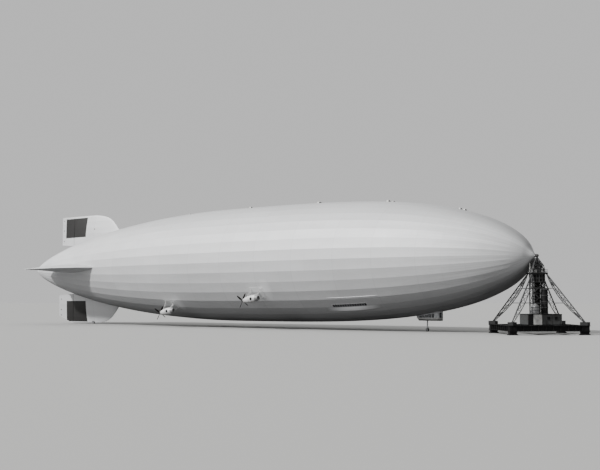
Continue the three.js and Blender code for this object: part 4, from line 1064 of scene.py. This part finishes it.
def control_plan(inset, z):
    """Outline of the control car at a height: half a circle in front, straight sides that draw in
    to a narrow flat end behind, both ends raked in below the waist."""
    below = min(max((CONTROL["waist"] - z) / (CONTROL["waist"] - CONTROL["bottom"]), 0), 1)
    front = CONTROL["front"] - below * CONTROL["front_rake"]
    aft = CONTROL["aft"] + below * CONTROL["aft_rake"]
    turn = np.linspace(-np.pi / 2, np.pi / 2, 25)
    half, nose, narrow = CONTROL["half"], CONTROL["nose"], CONTROL["aft_half"]
    bow = np.stack([front - nose + (nose - inset) * np.cos(turn), (half - inset) * np.sin(turn)], axis=1)
    port = [(aft + 0.3, half - inset - 0.014), (aft + inset, narrow - inset)]
    plan = np.concatenate([bow, port, [(x, -y) for x, y in port[::-1]], bow[:1]])
    return at_height(plan + [STERN_X, 0], AXIS_Z + z)


def control_band(levels, proud, depth=0.004):
    """A band round the control car, proud of its wall, with its back inside the wall."""
    outer = [control_plan(-proud, z) for z in levels]
    inner = [control_plan(depth - proud, z) for z in (levels[-1], levels[0])]
    return np.stack([*outer, *inner, outer[0]])


def control_car_fittings():
    """A pale plated band under the windows, a dark rubbing strake round the bottom whose black also
    stands as painted shade under the car, a drip rail along the window sills, and slim bars between
    the panes."""
    waist, bottom = CONTROL["waist"], CONTROL["bottom"]
    levels = np.linspace(bottom + STRAKE_HEIGHT + 0.001, waist - 0.010, 5)
    plating = Parts().grid(control_band(levels, 0.0025))
    # The strake is a real rubbing strake, and its black is also painted shade under the car.
    levels = bottom + STRAKE_HEIGHT * np.array([0.02, 0.5, 1.0])
    strake = Parts().grid(control_band(levels, 0.007, 0.009))
    aft, narrow, rake = CONTROL["aft"], CONTROL["aft_half"], CONTROL["aft_rake"]
    knee = [STERN_X + aft, 0, AXIS_Z + waist]
    low = [STERN_X + aft + rake * (1 - STRAKE_HEIGHT / (waist - bottom)), 0, AXIS_Z + bottom + STRAKE_HEIGHT]
    high = [STERN_X + aft, 0, AXIS_Z - float(hull_radius(aft)) - 0.012]
    for side in (-1, 1):
        corner = np.array([low, knee, high]) + [0, side * (narrow - 0.004), 0]
        strake.bars(corner[:-1], corner[1:], 0.014)
    rail = Parts().grid(control_band([waist - 0.009, waist - 0.004, waist + 0.001], 0.006, 0.008))
    piece("control_car_plating", plating, pale_metal, "bare_metal")
    piece("control_car_strake", strake, mast_black, "bare_metal")
    piece("control_car_rail", rail, bare_metal, "bare_metal")
    i = np.arange(CONTROL_WINDOWS["count"])
    middle = CONTROL_WINDOWS["start"] + i * CONTROL_WINDOWS["pitch"] + CONTROL_WINDOWS["width"] / 2
    slim = Parts()
    for side in (-1, 1):
        share = np.clip((middle - CONTROL["aft"]) / 0.3, 0, 1)
        wide = CONTROL["aft_half"] + share * (CONTROL["half"] - 0.014 - CONTROL["aft_half"])
        wide = np.where(middle > CONTROL["aft"] + 0.3, CONTROL["half"] - 0.007, wide) - 0.004
        top = AXIS_Z - hull_radius(middle) - 0.010
        slim.uprights(np.column_stack([STERN_X + middle, side * wide]), AXIS_Z + waist, top, 0.006)
    piece("control_car_bars", slim, bare_metal, "bare_metal")


def landing_wheels():
    """Tyres with a round tread and two shoulders on a dished hub, turned round their axles."""
    for name, (radius, half, bore) in WHEELS.items():
        low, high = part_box(name)
        centre = [(a + b) / 2 for a, b in zip(low, high)]
        tread = arc((0, radius - half * 0.95), half * 0.95, 0, 180, 15)
        tyre = [(-half * 0.9, radius * 0.60), (-half * 0.95, radius - half * 0.95), *tread[::-1][1:-1],
                (half * 0.95, radius - half * 0.95), (half * 0.9, radius * 0.60)]
        disc = [(half * 0.55, radius * 0.58), (half * 0.45, radius * 0.30), (half * 0.95, bore + 0.006),
                (half * 0.95, bore), (-half * 0.95, bore), (-half * 0.95, bore + 0.006),
                (-half * 0.45, radius * 0.30), (-half * 0.55, radius * 0.58), (-half * 0.9, radius * 0.60)]
        parts = Parts().grid(turned(tyre, 60, centre, "y"))
        parts.grid(turned([tyre[-1], *disc], 60, centre, "y"), kind=1)
        piece(f"{name}_tyre", parts, [tyre_rubber, bare_metal], "tyre_rubber", name, [name], crease=40)


def fin_fittings():
    """Short horns through each rudder and elevator by its tab, and a round light on each face of
    the upper fin."""
    station, heights, trimmed = TAB_HORNS
    share = (HINGE_STATION - station) / (HINGE_STATION - RUDDER_TAIL)
    for name, (side, _, _, turn) in CONTROL_SURFACES.items():
        turn = math.radians(turn)
        height = np.minimum(heights, np.inf if side == "upper" else trimmed)
        half = smooth_table(height, FIN_TABLE)[:, 1] * REAR_SHARE
        reach = half + (RUDDER_EDGE - half) * share + 0.016
        ends = []
        for sign in (-1, 1):
            x = station - HINGE_STATION
            ends.append(np.column_stack([x * math.cos(turn) - sign * reach * math.sin(turn) + HINGE_STATION,
                                         x * math.sin(turn) + sign * reach * math.cos(turn), height]))
        parts = Parts().bars(*ends, 0.016, 0.040).moved(fin_place(side))
        piece(f"{name}_horns", parts, machine_grey, "fin_cloth", name)
    station, height, radius = FIN_LIGHT
    leading, thick = smooth_table(np.array([height]), FIN_TABLE)[0]
    rear = HINGE_STATION + REAR_SHARE * thick + RUDDER_GAP
    face = thick * fin_thickness((station - rear) / (leading - rear))
    lights = Parts()
    for side in (-1, 1):
        lens = [(side * offset, size * radius) for offset, size in
                ((-0.006, 0), (-0.006, 1.0), (0.002, 1.0), (0.005, 0.72), (0.006, 0.0))]
        lights.grid(turned(lens, 28, (station, side * face, height), "y"))
    piece("fin_lights", lights.moved(fin_place("upper")), smoked_glass, "window_glass")


def hull_band(stations, degrees, lift, taut=0.0):
    """A raised patch on the hull: its outer grid follows the cloth plus a lift, without the cloth's
    sag where it is taut, and its inner grid lies a little under the cloth, joined to the outer one
    all round."""
    sag = cloth_sag(stations)[:, None] * (1 - taut)
    outer = hull_point(stations[:, None], degrees[None], lift=lift, sag=sag)
    inner = hull_point(stations[:, None], degrees[None], lift=-PATCH_DEPTH)
    upper = np.concatenate([inner[:, :1], outer, inner[:, -1:]], axis=1)
    upper = np.concatenate([upper[:1], upper, upper[-1:]])
    upper[0, 1:-1] = inner[0]
    upper[-1, 1:-1] = inner[-1]
    return upper, inner[:, ::-1]


def promenades():
    """Long windows of the passenger deck on each side, in a row of framed panes over a slanting
    sill that swells out of the hull and dies away at both ends, with a thin rail above."""
    for side, mirror in (("port", False), ("starboard", True)):
        def angle(value):
            """The angle on this side of the hull."""
            return 180 - value if mirror else value

        sill, panes, rail = Parts(), Parts(), Parts()
        x = np.linspace(*SILL_STATIONS, 60)
        v = np.linspace(angle(SILL_ANGLES[0]), angle(SILL_ANGLES[1]), 13)
        swell = np.sin(np.pi * np.linspace(0, 1, 60)) ** 0.85
        share = np.linspace(0, 1, 13)
        shape = np.minimum(share / 0.25, (1 - share) / 0.75) ** 0.8
        sill.patch(x, v, SILL_SWELL * swell[:, None] * shape[None])
        x = np.linspace(*RAIL_STATIONS, 50)
        v = np.linspace(angle(RAIL_ANGLE - 0.17), angle(RAIL_ANGLE + 0.17), 7)
        shape = np.sin(np.pi * np.linspace(0, 1, 7))
        rail.patch(x, v, RAIL_LIFT * shape[None] * np.ones((50, 1)))
        edges = np.linspace(*WINDOW_STATIONS, WINDOW_COUNT + 1)
        for start, stop in zip(edges[:-1], edges[1:]):
            gap = PANE_GAP * (stop - start)
            x = np.linspace(start + gap, stop - gap, 3)
            v = np.linspace(angle(WINDOW_ANGLES[0]), angle(WINDOW_ANGLES[1]), 4)
            panes.patch(x, v, PANE_LIFT * np.ones((3, 4)))
        x = np.linspace(WINDOW_STATIONS[0] - 0.03, WINDOW_STATIONS[1] + 0.03, 80)
        v = np.linspace(angle(WINDOW_ANGLES[0] - 0.7), angle(WINDOW_ANGLES[1] + 0.7), 9)
        surround = Parts().patch(x, v, FRAME_LIFT * np.ones((80, 9)))
        piece(f"window_sill_{side}", sill, pale_cloth, "hull_cloth")
        piece(f"window_rail_{side}", rail, pale_cloth, "hull_cloth")
        piece(f"window_panes_{side}", panes, dark_glass, "window_glass")
        piece(f"window_surround_{side}", surround, hull_cloth, "hull_cloth")


def vent_hoods():
    """Gas vents along the crown: each hood is half an egg, higher aft, that lies on the hull, with
    its front painted black as painted shade for the open mouth."""
    parts = Parts()
    u = np.linspace(0, np.pi, 17)
    v = np.linspace(-np.pi / 2, np.pi / 2, 13)
    for station, length, width, height in VENT_HOODS:
        along = station - length / 2 * np.cos(u)[:, None] * np.ones(13)
        across = np.degrees(width / 2 / hull_radius(station)) * np.sin(u)[:, None] * np.sin(v)[None] + 90
        lift = height * (np.sin(u) ** 0.8 * (1 - 0.35 * np.cos(u + np.pi)))[:, None] * np.cos(v)[None] - 0.003
        outer = hull_point(along, across, lift=lift)
        base = hull_point(along, across, lift=-0.006)
        mouth = len(u) * 5 // 8
        parts.grid(outer[:mouth + 1])
        # Painted shade: the hood's front is black where its open mouth would be in shade.
        parts.grid(outer[mouth:], kind=1)
        parts.grid(base[:, ::-1])
        for edge in (0, -1):
            strip = np.stack([outer[:, edge], base[:, edge]], axis=1)
            parts.grid(strip if edge == 0 else strip[:, ::-1])
    piece("vent_hoods", parts, [pale_metal, mast_black], "bare_metal")


def i_beams(parts, start, end, width, depth, pitch):
    """Rolled girders between two lists of points: a flange above and below, a thin web, and a
    stiffening plate to each side of it at every pitch."""
    start, end = np.atleast_2d(start).astype(float), np.atleast_2d(end).astype(float)
    lift = np.array([0, 0, depth / 2 - 0.007])
    for side in (-1, 1):
        parts.bars(start + side * lift, end + side * lift, width, 0.014)
    parts.bars(start, end, 0.020, depth - 0.02)
    along = end - start
    length = np.linalg.norm(along, axis=1)
    along /= length[:, None]
    for a, unit, reach in zip(start, along, length):
        count = int(reach / pitch)
        middle = a + unit * (np.arange(count) + 0.5)[:, None] * reach / count
        parts.bars(middle - unit * 0.005, middle + unit * 0.005, width * 0.92, depth - 0.024)


def mast_base():
    """Base of the mast: four girders in a square with a cross under the house, and at each corner
    a pad, a post and a head plate."""
    width, depth = GIRDER
    half, level = MAST_HALF_FOOT, DECK - GIRDER[1] / 2
    end = half + width / 2
    cross = (HOUSE["y"][1] - HOUSE["y"][0]) * 0.35
    parts = Parts()
    sides = np.array([[-end, -half, end, -half], [-end, half, end, half],
                      [-half, -half + 0.05, -half, half - 0.05], [half, -half + 0.05, half, half - 0.05]])
    inner = np.array([[-half, s * cross, half, s * cross] for s in (-1, 1)]
                     + [[s * cross, -half, s * cross, half] for s in (-1, 1)])
    for rows, wide in ((sides, width), (inner, width * 0.6)):
        i_beams(parts, at_height(rows[:, :2], level), at_height(rows[:, 2:], level), wide, depth, 0.2)
    size, inboard = BLOCK
    foot = MAST_CORNERS * (half - inboard)
    for low, high, wide in ((0, 0.030, size), (0.030, 0.075, size * 0.80),
                            (0.075, DECK - 0.022, size * 0.86), (DECK - 0.022, DECK, size)):
        parts.uprights(foot, low, high, wide)
    mast_piece("mast_base_girders", parts, mast_black, replaces=["mast_base"])


def leg_lines(corner):
    """Outer chord and the two inner chords of a leg at every bay: the outer one is straight from
    the foot to the platform, the inner ones lie in from it and apart by sines of the way up."""
    share = np.linspace(0, 1, LEG_BAYS + 1)
    low, high = DECK + SEAT - 0.008, PLATFORM - 0.026 - SEAT + 0.010
    diagonal = corner / math.sqrt(2)
    across = np.array([-diagonal[1], diagonal[0]])
    reach = math.sqrt(2) * (MAST_HALF_FOOT + share * (MAST_HALF_HEAD - MAST_HALF_FOOT))
    height = low + share * (high - low)
    inward = reach - LEG_BULGE * np.sin(np.pi * share)
    apart = LEG_SPREAD[0] + LEG_SPREAD[1] * np.sin(np.pi * share)
    inner = [at_height(inward[:, None] * diagonal + hand * apart[:, None] * across, height)
             for hand in (-1, 1)]
    return at_height(reach[:, None] * diagonal, height), inner


def mast_lacing():
    """Thin crossed lacing in every bay of the legs, from chord to chord."""
    parts = Parts()
    for corner in MAST_CORNERS:
        outer, inner = leg_lines(corner)
        for line in inner:
            parts.bars(outer[:-1], line[1:], 0.008)
            parts.bars(line[:-1], outer[1:], 0.008)
        parts.bars(inner[0][:-1], inner[1][1:], 0.008)
        parts.bars(inner[1][:-1], inner[0][1:], 0.008)
    mast_piece("mast_leg_lacing", parts, mast_steel)


def mast_tower_fittings():
    """Inside and on the tower: counter braces and half-height rails on each face, a laced shaft,
    stairs that turn back at every level, and three upright pipes."""
    half = TOWER_HALF
    levels = np.array(TOWER_LEVELS)
    low, high = levels[:-1], levels[1:]
    corners = MAST_CORNERS * half
    after = np.roll(corners, -1, axis=0)
    braces = Parts()
    for n, (a, b) in enumerate(zip(low, high)):
        first, second = (corners, after) if n % 2 == 1 else (after, corners)
        braces.bars(at_height(first, a + 0.02), at_height(second, b - 0.01), 0.011)
        middle = (a + b) / 2
        braces.bars(at_height(corners, middle), at_height(after, middle), 0.010)
    mast_piece("mast_tower_braces", braces, mast_steel)

    shaft = Parts()
    reach, count = SHAFT
    core = MAST_CORNERS * reach
    shaft.uprights(core, levels[0] + 0.001, levels[-1] - 0.002, 0.014)
    rungs = np.linspace(levels[0] + 0.03, levels[-1] - 0.03, count)
    for start, end in zip(core, np.roll(core, -1, axis=0)):
        a, b = (at_height(np.repeat(point[None], count, axis=0), rungs) for point in (start, end))
        shaft.bars(a, b, 0.009)
        shaft.bars(a[:-1], b[1:], 0.007)
    height = np.linspace(levels[0] + 0.001, levels[-1] - 0.001, 25)
    ribbed = 0.074 + 0.004 * np.cos(np.pi * np.arange(25))
    shaft.grid(tube(at_height(np.zeros((25, 2)), height), ribbed, 24))
    mast_piece("mast_tower_shaft", shaft, drum_paint)

    stairs = Parts()
    lane, run, steps = STAIRS
    share = (np.arange(steps) + 0.5) / steps
    for n, (a, b) in enumerate(zip(low, high)):
        side = 1 if n % 2 == 0 else -1
        y = side * (-run + 2 * run * share)
        z = a + 0.02 + (b - a - 0.02) * share
        treads = [np.column_stack([np.full(steps, lane + edge), y, z]) for edge in (-0.035, 0.035)]
        stairs.bars(*treads, 0.024, 0.004)
        for edge in (-0.030, 0.030):
            string = [(lane + edge, side * -run, a + 0.02)], [(lane + edge, side * run, b - 0.005)]
            stairs.bars(*string, 0.006, 0.022)
    mast_piece("mast_stairs", stairs, mast_steel)

    pipes = Parts()
    height = np.linspace(levels[0] + 0.001, levels[-1] - 0.001, 9)
    for x, y, radius in TOWER_PIPES:
        pipes.grid(tube(at_height(np.tile([x, y], (9, 1)), height), radius, 14))
    mast_piece("mast_pipes", pipes, machine_grey, "machine_grey")


def mast_drum_ribs():
    """Upright ribs and three hoops round the drum under the platform."""
    radius, low, high = 0.226, TOWER_LEVELS[-1] + 0.004, PLATFORM - 0.030
    turn = np.radians(np.arange(0, 360, 22.5))
    foot = np.column_stack([radius * np.cos(turn), radius * np.sin(turn)])
    parts = Parts().uprights(foot, low, high, 0.012)
    for height in (low + 0.010, (low + high) / 2, high - 0.012):
        parts.grid(tube(round_path(radius + 0.001, height), 0.007, 8, closed=True))
    mast_piece("mast_drum_ribs", parts, rib_steel)


def mast_head():
    """Round the head frame: four bowed posts with a double hoop at each knee and crossed braces,
    a winch, sheaves beside the neck with their cables, a pale signal post and a lamp box."""
    floor = PLATFORM
    share, reach = HEAD_BOW.T
    height = floor + 0.001 + share * HEAD_HEIGHT
    posts = Parts()
    for corners in zip(MAST_CORNERS, np.roll(MAST_CORNERS, -1, axis=0)):
        line, beside = (at_height(reach[:, None] * corner, height) for corner in corners)
        posts.bars(line[:-1], line[1:], 0.018)
        posts.bars(line[1:-1], beside[1:-1], 0.013)
        posts.bars(line[1:-1] - [0, 0, 0.035], beside[1:-1] - [0, 0, 0.035], 0.009)
        posts.bars(line[:-1], beside[1:], 0.009)
        posts.bars(beside[:-1], line[1:], 0.009)
    mast_piece("mast_head_posts", posts, mast_steel)

    gear = Parts()
    for x, y, z in SHEAVES:
        gear.grid(turned(SHEAVE_OUTLINE, 28, (x, y, floor + z), "y"))
    gear.grid(turned(WINCH_OUTLINE, 32, (0.105, 0, floor + 0.205), "y"))
    axle = np.array([[0.085, -0.06, 0.30], [-0.085, -0.06, 0.30], [0.0, -0.14, 0.21]]) + [0, 0, floor]
    gear.bars(axle, axle * [1, -1, 1], 0.016)
    braces = np.array([[0.085, 0.06], [0.085, -0.06], [-0.085, 0.06], [-0.085, -0.06]])
    gear.uprights(braces, floor + 0.150, floor + 0.31, 0.012)
    mast_piece("mast_head_gear", gear, drum_paint, "machine_grey")

    ropes = Parts()
    for side in (-1, 1):
        drop = np.array([[0.105, side * 0.03, floor + 0.24], [0.088, side * 0.04, floor + 0.34],
                         [0.03, side * 0.03, floor + 0.425]])
        ropes.grid(tube(drop, 0.004, 6))
    mast_piece("mast_head_ropes", ropes, bare_metal, "machine_grey")

    pale = Parts()
    pale.grid(tube(np.array([[-0.03, -0.200, floor + t] for t in (0.001, 0.10, 0.20, 0.30)]), 0.019, 16))
    pale.bars([(0.150, -0.13, floor + 0.055)], [(0.150, -0.06, floor + 0.055)], 0.05, 0.11)
    mast_piece("mast_signal_post", pale, pale_paint, "tank_grey")


def mast_rail():
    """A railing of posts and two rails round the mast's platform, with a toe board."""
    low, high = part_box("mast_platform")
    turn = abs(math.cos(MAST_TURN)) + abs(math.sin(MAST_TURN))
    half = (high[0] - low[0]) / 2 / turn - 0.012
    floor = high[2]
    corners = MAST_CORNERS * half
    step = np.linspace(0, 1, 5)[:-1, None]
    feet = np.concatenate([a + step * (b - a) for a, b in zip(corners, np.roll(corners, -1, axis=0))])
    parts = Parts().uprights(feet, floor, floor + RAIL_HEIGHT, 0.007)
    for lift, width, depth in ((0.5 * RAIL_HEIGHT, 0.006, 0.006), (RAIL_HEIGHT, 0.006, 0.006),
                               (0.010, 0.004, 0.018)):
        parts.bars(*around(corners, floor + lift), width, depth)
    mast_piece("mast_railing", parts, mast_steel)


def house_fittings():
    """On the machinery house: two pale door leaves with handles and a doorway of black plate in the
    front wall, plated seams, framed windows of black plate, the black of both painted shade for
    the room behind, and a dark trim round the roof's edge and the foot."""
    x_low, x_high = HOUSE["x"]
    y_low, y_high = HOUSE["y"]
    low, top = DECK + 0.004, HOUSE["top"]
    front = x_high

    def plate(y0, y1, z0, z1, proud):
        """An upright plate on the front wall, its back 2 mm inside it."""
        return bars([(front + proud / 2 - 0.002, (y0 + y1) / 2, z0)],
                    [(front + proud / 2 - 0.002, (y0 + y1) / 2, z1)], y1 - y0, proud)

    door, dark, seams, trim = Parts(), Parts(), Parts(), Parts()
    for edges in HOUSE_DOORS:
        door.cells(*plate(*edges, low, top - 0.006, 0.010))
    # Painted shade: black plates stand for the shade in the open doorway and behind the windows.
    dark.cells(*plate(*HOUSE_DOORWAY, low, top - 0.010, 0.006))
    width, foot, head = HOUSE_PANE
    for y0 in HOUSE_WINDOWS:
        dark.cells(*plate(y0, y0 + width, foot, head, 0.006))
        for z in (foot - 0.005, head + 0.005):
            seams.cells(*plate(y0 - 0.008, y0 + width + 0.008, z - 0.004, z + 0.004, 0.011))
        for y in (y0 - 0.004, y0 + width + 0.004):
            seams.cells(*plate(y - 0.003, y + 0.003, foot - 0.008, head + 0.008, 0.010))
    for y in HOUSE_SEAMS:
        seams.cells(*plate(y - 0.004, y + 0.004, low, top - 0.006, 0.009))
    rows = np.linspace(x_low + 0.12, x_high - 0.12, 6)
    for y, side in ((y_low, -1), (y_high, 1)):
        foot = np.column_stack([rows, np.full(6, y + side * 0.001)])
        seams.uprights(foot, low, top - 0.006, 0.008)
    plan = [(x_low, y_low), (x_high, y_low), (x_high, y_high), (x_low, y_high)]
    trim.bars(*around(plan, top - 0.006), 0.024, 0.014)
    trim.bars(*around(plan, low + 0.002), 0.016, 0.018)
    handles = Parts()
    handles.bars([(front + 0.011, -0.152, 0.40), (front + 0.011, -0.122, 0.40)],
                 [(front + 0.011, -0.152, 0.45), (front + 0.011, -0.122, 0.45)], 0.006)
    mast_piece("house_doors", door, pale_paint)
    mast_piece("house_openings", dark, mast_black)
    mast_piece("house_seams", seams, house_paint)
    mast_piece("house_trim", trim, mast_black)
    mast_piece("house_handles", handles, bare_metal)


def hoops(name, node, heights, thickness, material, slot):
    """Level round hoops, their middle lines on the wall of an upright cylinder of the frame."""
    low, high = (np.array(corner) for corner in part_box(node))
    middle, radius = (low + high) / 2, (high[0] - low[0]) / 2
    parts = Parts()
    for share in heights:
        level = low[2] + share * (high[2] - low[2])
        parts.grid(tube(round_path(radius, level, middle), thickness, 8, closed=True))
    piece(name, parts, material, slot)


def tank_and_pipe():
    """Bands round the tank and flanges round the tall pipe, and a ladder up the tank."""
    hoops("tank_bands", "mast_tank", (0.03, 0.34, 0.64), 0.006, mast_steel, "tank_grey")
    hoops("pipe_flanges", "mast_pipe", (0.02, 0.26, 0.50, 0.74, 0.98), 0.011, mast_steel, "machine_grey")
    low, high = (np.array(corner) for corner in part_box("mast_tank"))
    middle, radius = (low + high) / 2, (high[0] - low[0]) / 2
    out = np.array([math.cos(math.radians(-100)), math.sin(math.radians(-100))])
    across = np.array([-out[1], out[0]])
    feet = [middle[:2] + out * (radius + 0.012) + side * 0.022 * across for side in (-1, 1)]
    ladder = Parts()
    for foot in feet:
        ladder.uprights([foot], low[2], low[2] + 0.21, 0.005)
    rung = np.linspace(low[2] + 0.02, low[2] + 0.19, 7)
    ladder.bars(*(at_height(np.tile(foot, (7, 1)), rung) for foot in feet), 0.004)
    piece("tank_ladder", ladder, mast_steel, "tank_grey")


def stage_floor(name, tone, level):
    """A level floor, 800 m square."""
    edge = np.linspace(-400, 400, 9)
    x, y = np.meshgrid(edge, edge, indexing="ij")
    parts = Parts().grid(np.stack([x, y, np.full_like(x, level)], axis=2))
    mesh = bpy.data.meshes.new(name)
    mesh.from_pydata(np.concatenate(parts.points), [], np.concatenate(parts.quads))
    mesh.materials.append(Finish(name, tone, 0.9).material)
    floor = linked(name, mesh)
    return floor


def soft_light():
    """Soft light from all round, from ahead of the bow about a third as strong as from astern. The
    camera itself sees an even backdrop."""
    world = bpy.data.worlds.new("studio")
    world.use_nodes = True
    tree = world.node_tree
    backdrop = tree.nodes["Background"]
    backdrop.inputs["Color"].default_value = (1, 1, 1, 1)
    place = new_node(tree, "ShaderNodeTexCoord", {})
    split = new_node(tree, "ShaderNodeSeparateXYZ", {0: place.outputs["Generated"]})
    fall = {0: split.outputs["X"], 1: FORWARD_FALL, 2: BACKDROP}
    falling = new_node(tree, "ShaderNodeMath", fall, operation="MULTIPLY_ADD")
    ray = new_node(tree, "ShaderNodeLightPath", {})
    seen = {0: ray.outputs["Is Camera Ray"], 2: falling.outputs[0], 3: BACKDROP}
    choice = new_node(tree, "ShaderNodeMix", seen)
    tree.links.new(choice.outputs[0], backdrop.inputs["Strength"])
    bpy.context.scene.world = world


def stage_and_camera():
    """Pale floor, soft light, one large lamp high astern to starboard, and the photograph's camera.
    The pale floor is seen but throws back no light. A dark floor under it isn't seen and throws
    back the little light that keeps the belly dark, so the belly isn't lit as on a pale floor."""
    pale = stage_floor("pale_floor", (0.46, 0.46, 0.45), 0.0)
    pale.visible_diffuse = pale.visible_glossy = pale.visible_shadow = False
    shade = stage_floor("shade_floor", (0.09, 0.09, 0.09), -0.001)
    shade.visible_camera = False

    soft_light()

    lamp = bpy.data.lights.new("key", "SUN")
    lamp.energy, lamp.angle = LAMP["energy"], math.radians(LAMP["degrees"])
    key = linked("key", lamp)
    key.rotation_mode = "QUATERNION"
    key.rotation_quaternion = Vector(LAMP["towards"]).to_track_quat("Z", "Y")

    yaw, pitch = CAMERA["yaw"], CAMERA["pitch"]
    camera = bpy.data.cameras.new("camera")
    camera.sensor_width, camera.lens = 36.0, CAMERA["lens"]
    camera.clip_start, camera.clip_end = 0.1, 3000.0
    view = linked("camera", camera)
    ahead = Vector((-math.sin(yaw) * math.cos(pitch), math.cos(yaw) * math.cos(pitch), math.sin(pitch)))
    right = Vector((math.cos(yaw), math.sin(yaw), 0))
    up = right.cross(ahead)
    turn = Matrix((right, up, -ahead)).transposed().to_4x4()
    x, y, z = CAMERA["place"]
    view.matrix_world = Matrix.Translation((STERN_X + x, y, AXIS_Z + z)) @ turn
    bpy.context.scene.camera = view


def node_finishes():
    """Materials of the CAD nodes that stay."""
    table = {
        "nose_cap": nose_metal, "control_car": bare_metal, "control_car_glass": window_glass,
        "control_car_floor": bare_metal, "mooring_cup": machine_grey, "mast_house": house_paint,
        "mast_tank": tank_grey, "mast_pipe": drum_paint, "mast_drum": drum_paint,
        "mast_platform": mast_black, "mast_base": mast_black,
    }
    for name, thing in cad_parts.items():
        if name in table:
            material = table[name]
        elif name.startswith("mast_leg"):
            material = leg_steel
        elif name.startswith("mast_"):
            material = mast_steel
        elif name.startswith("propeller_"):
            material = dark_wood
        elif name.startswith("landing_wheel"):
            material = tyre_rubber
        elif name.startswith("car_struts_"):
            material = strut_paint
        elif name.startswith("engine_"):
            material = machine_grey
        else:
            material = bare_metal
        for place in thing.material_slots:
            place.material = material


stage_and_camera()
node_finishes()
hull_covers()
tail_cone_cover()
fins()
rudders()
fin_fittings()
engine_cars()
strut_plates()
propellers()
nose_cover()
mooring_cup()
control_car_fittings()
landing_wheels()
promenades()
vent_hoods()
mast_base()
mast_lacing()
mast_tower_fittings()
mast_drum_ribs()
mast_head()
mast_rail()
house_fittings()
tank_and_pipe()
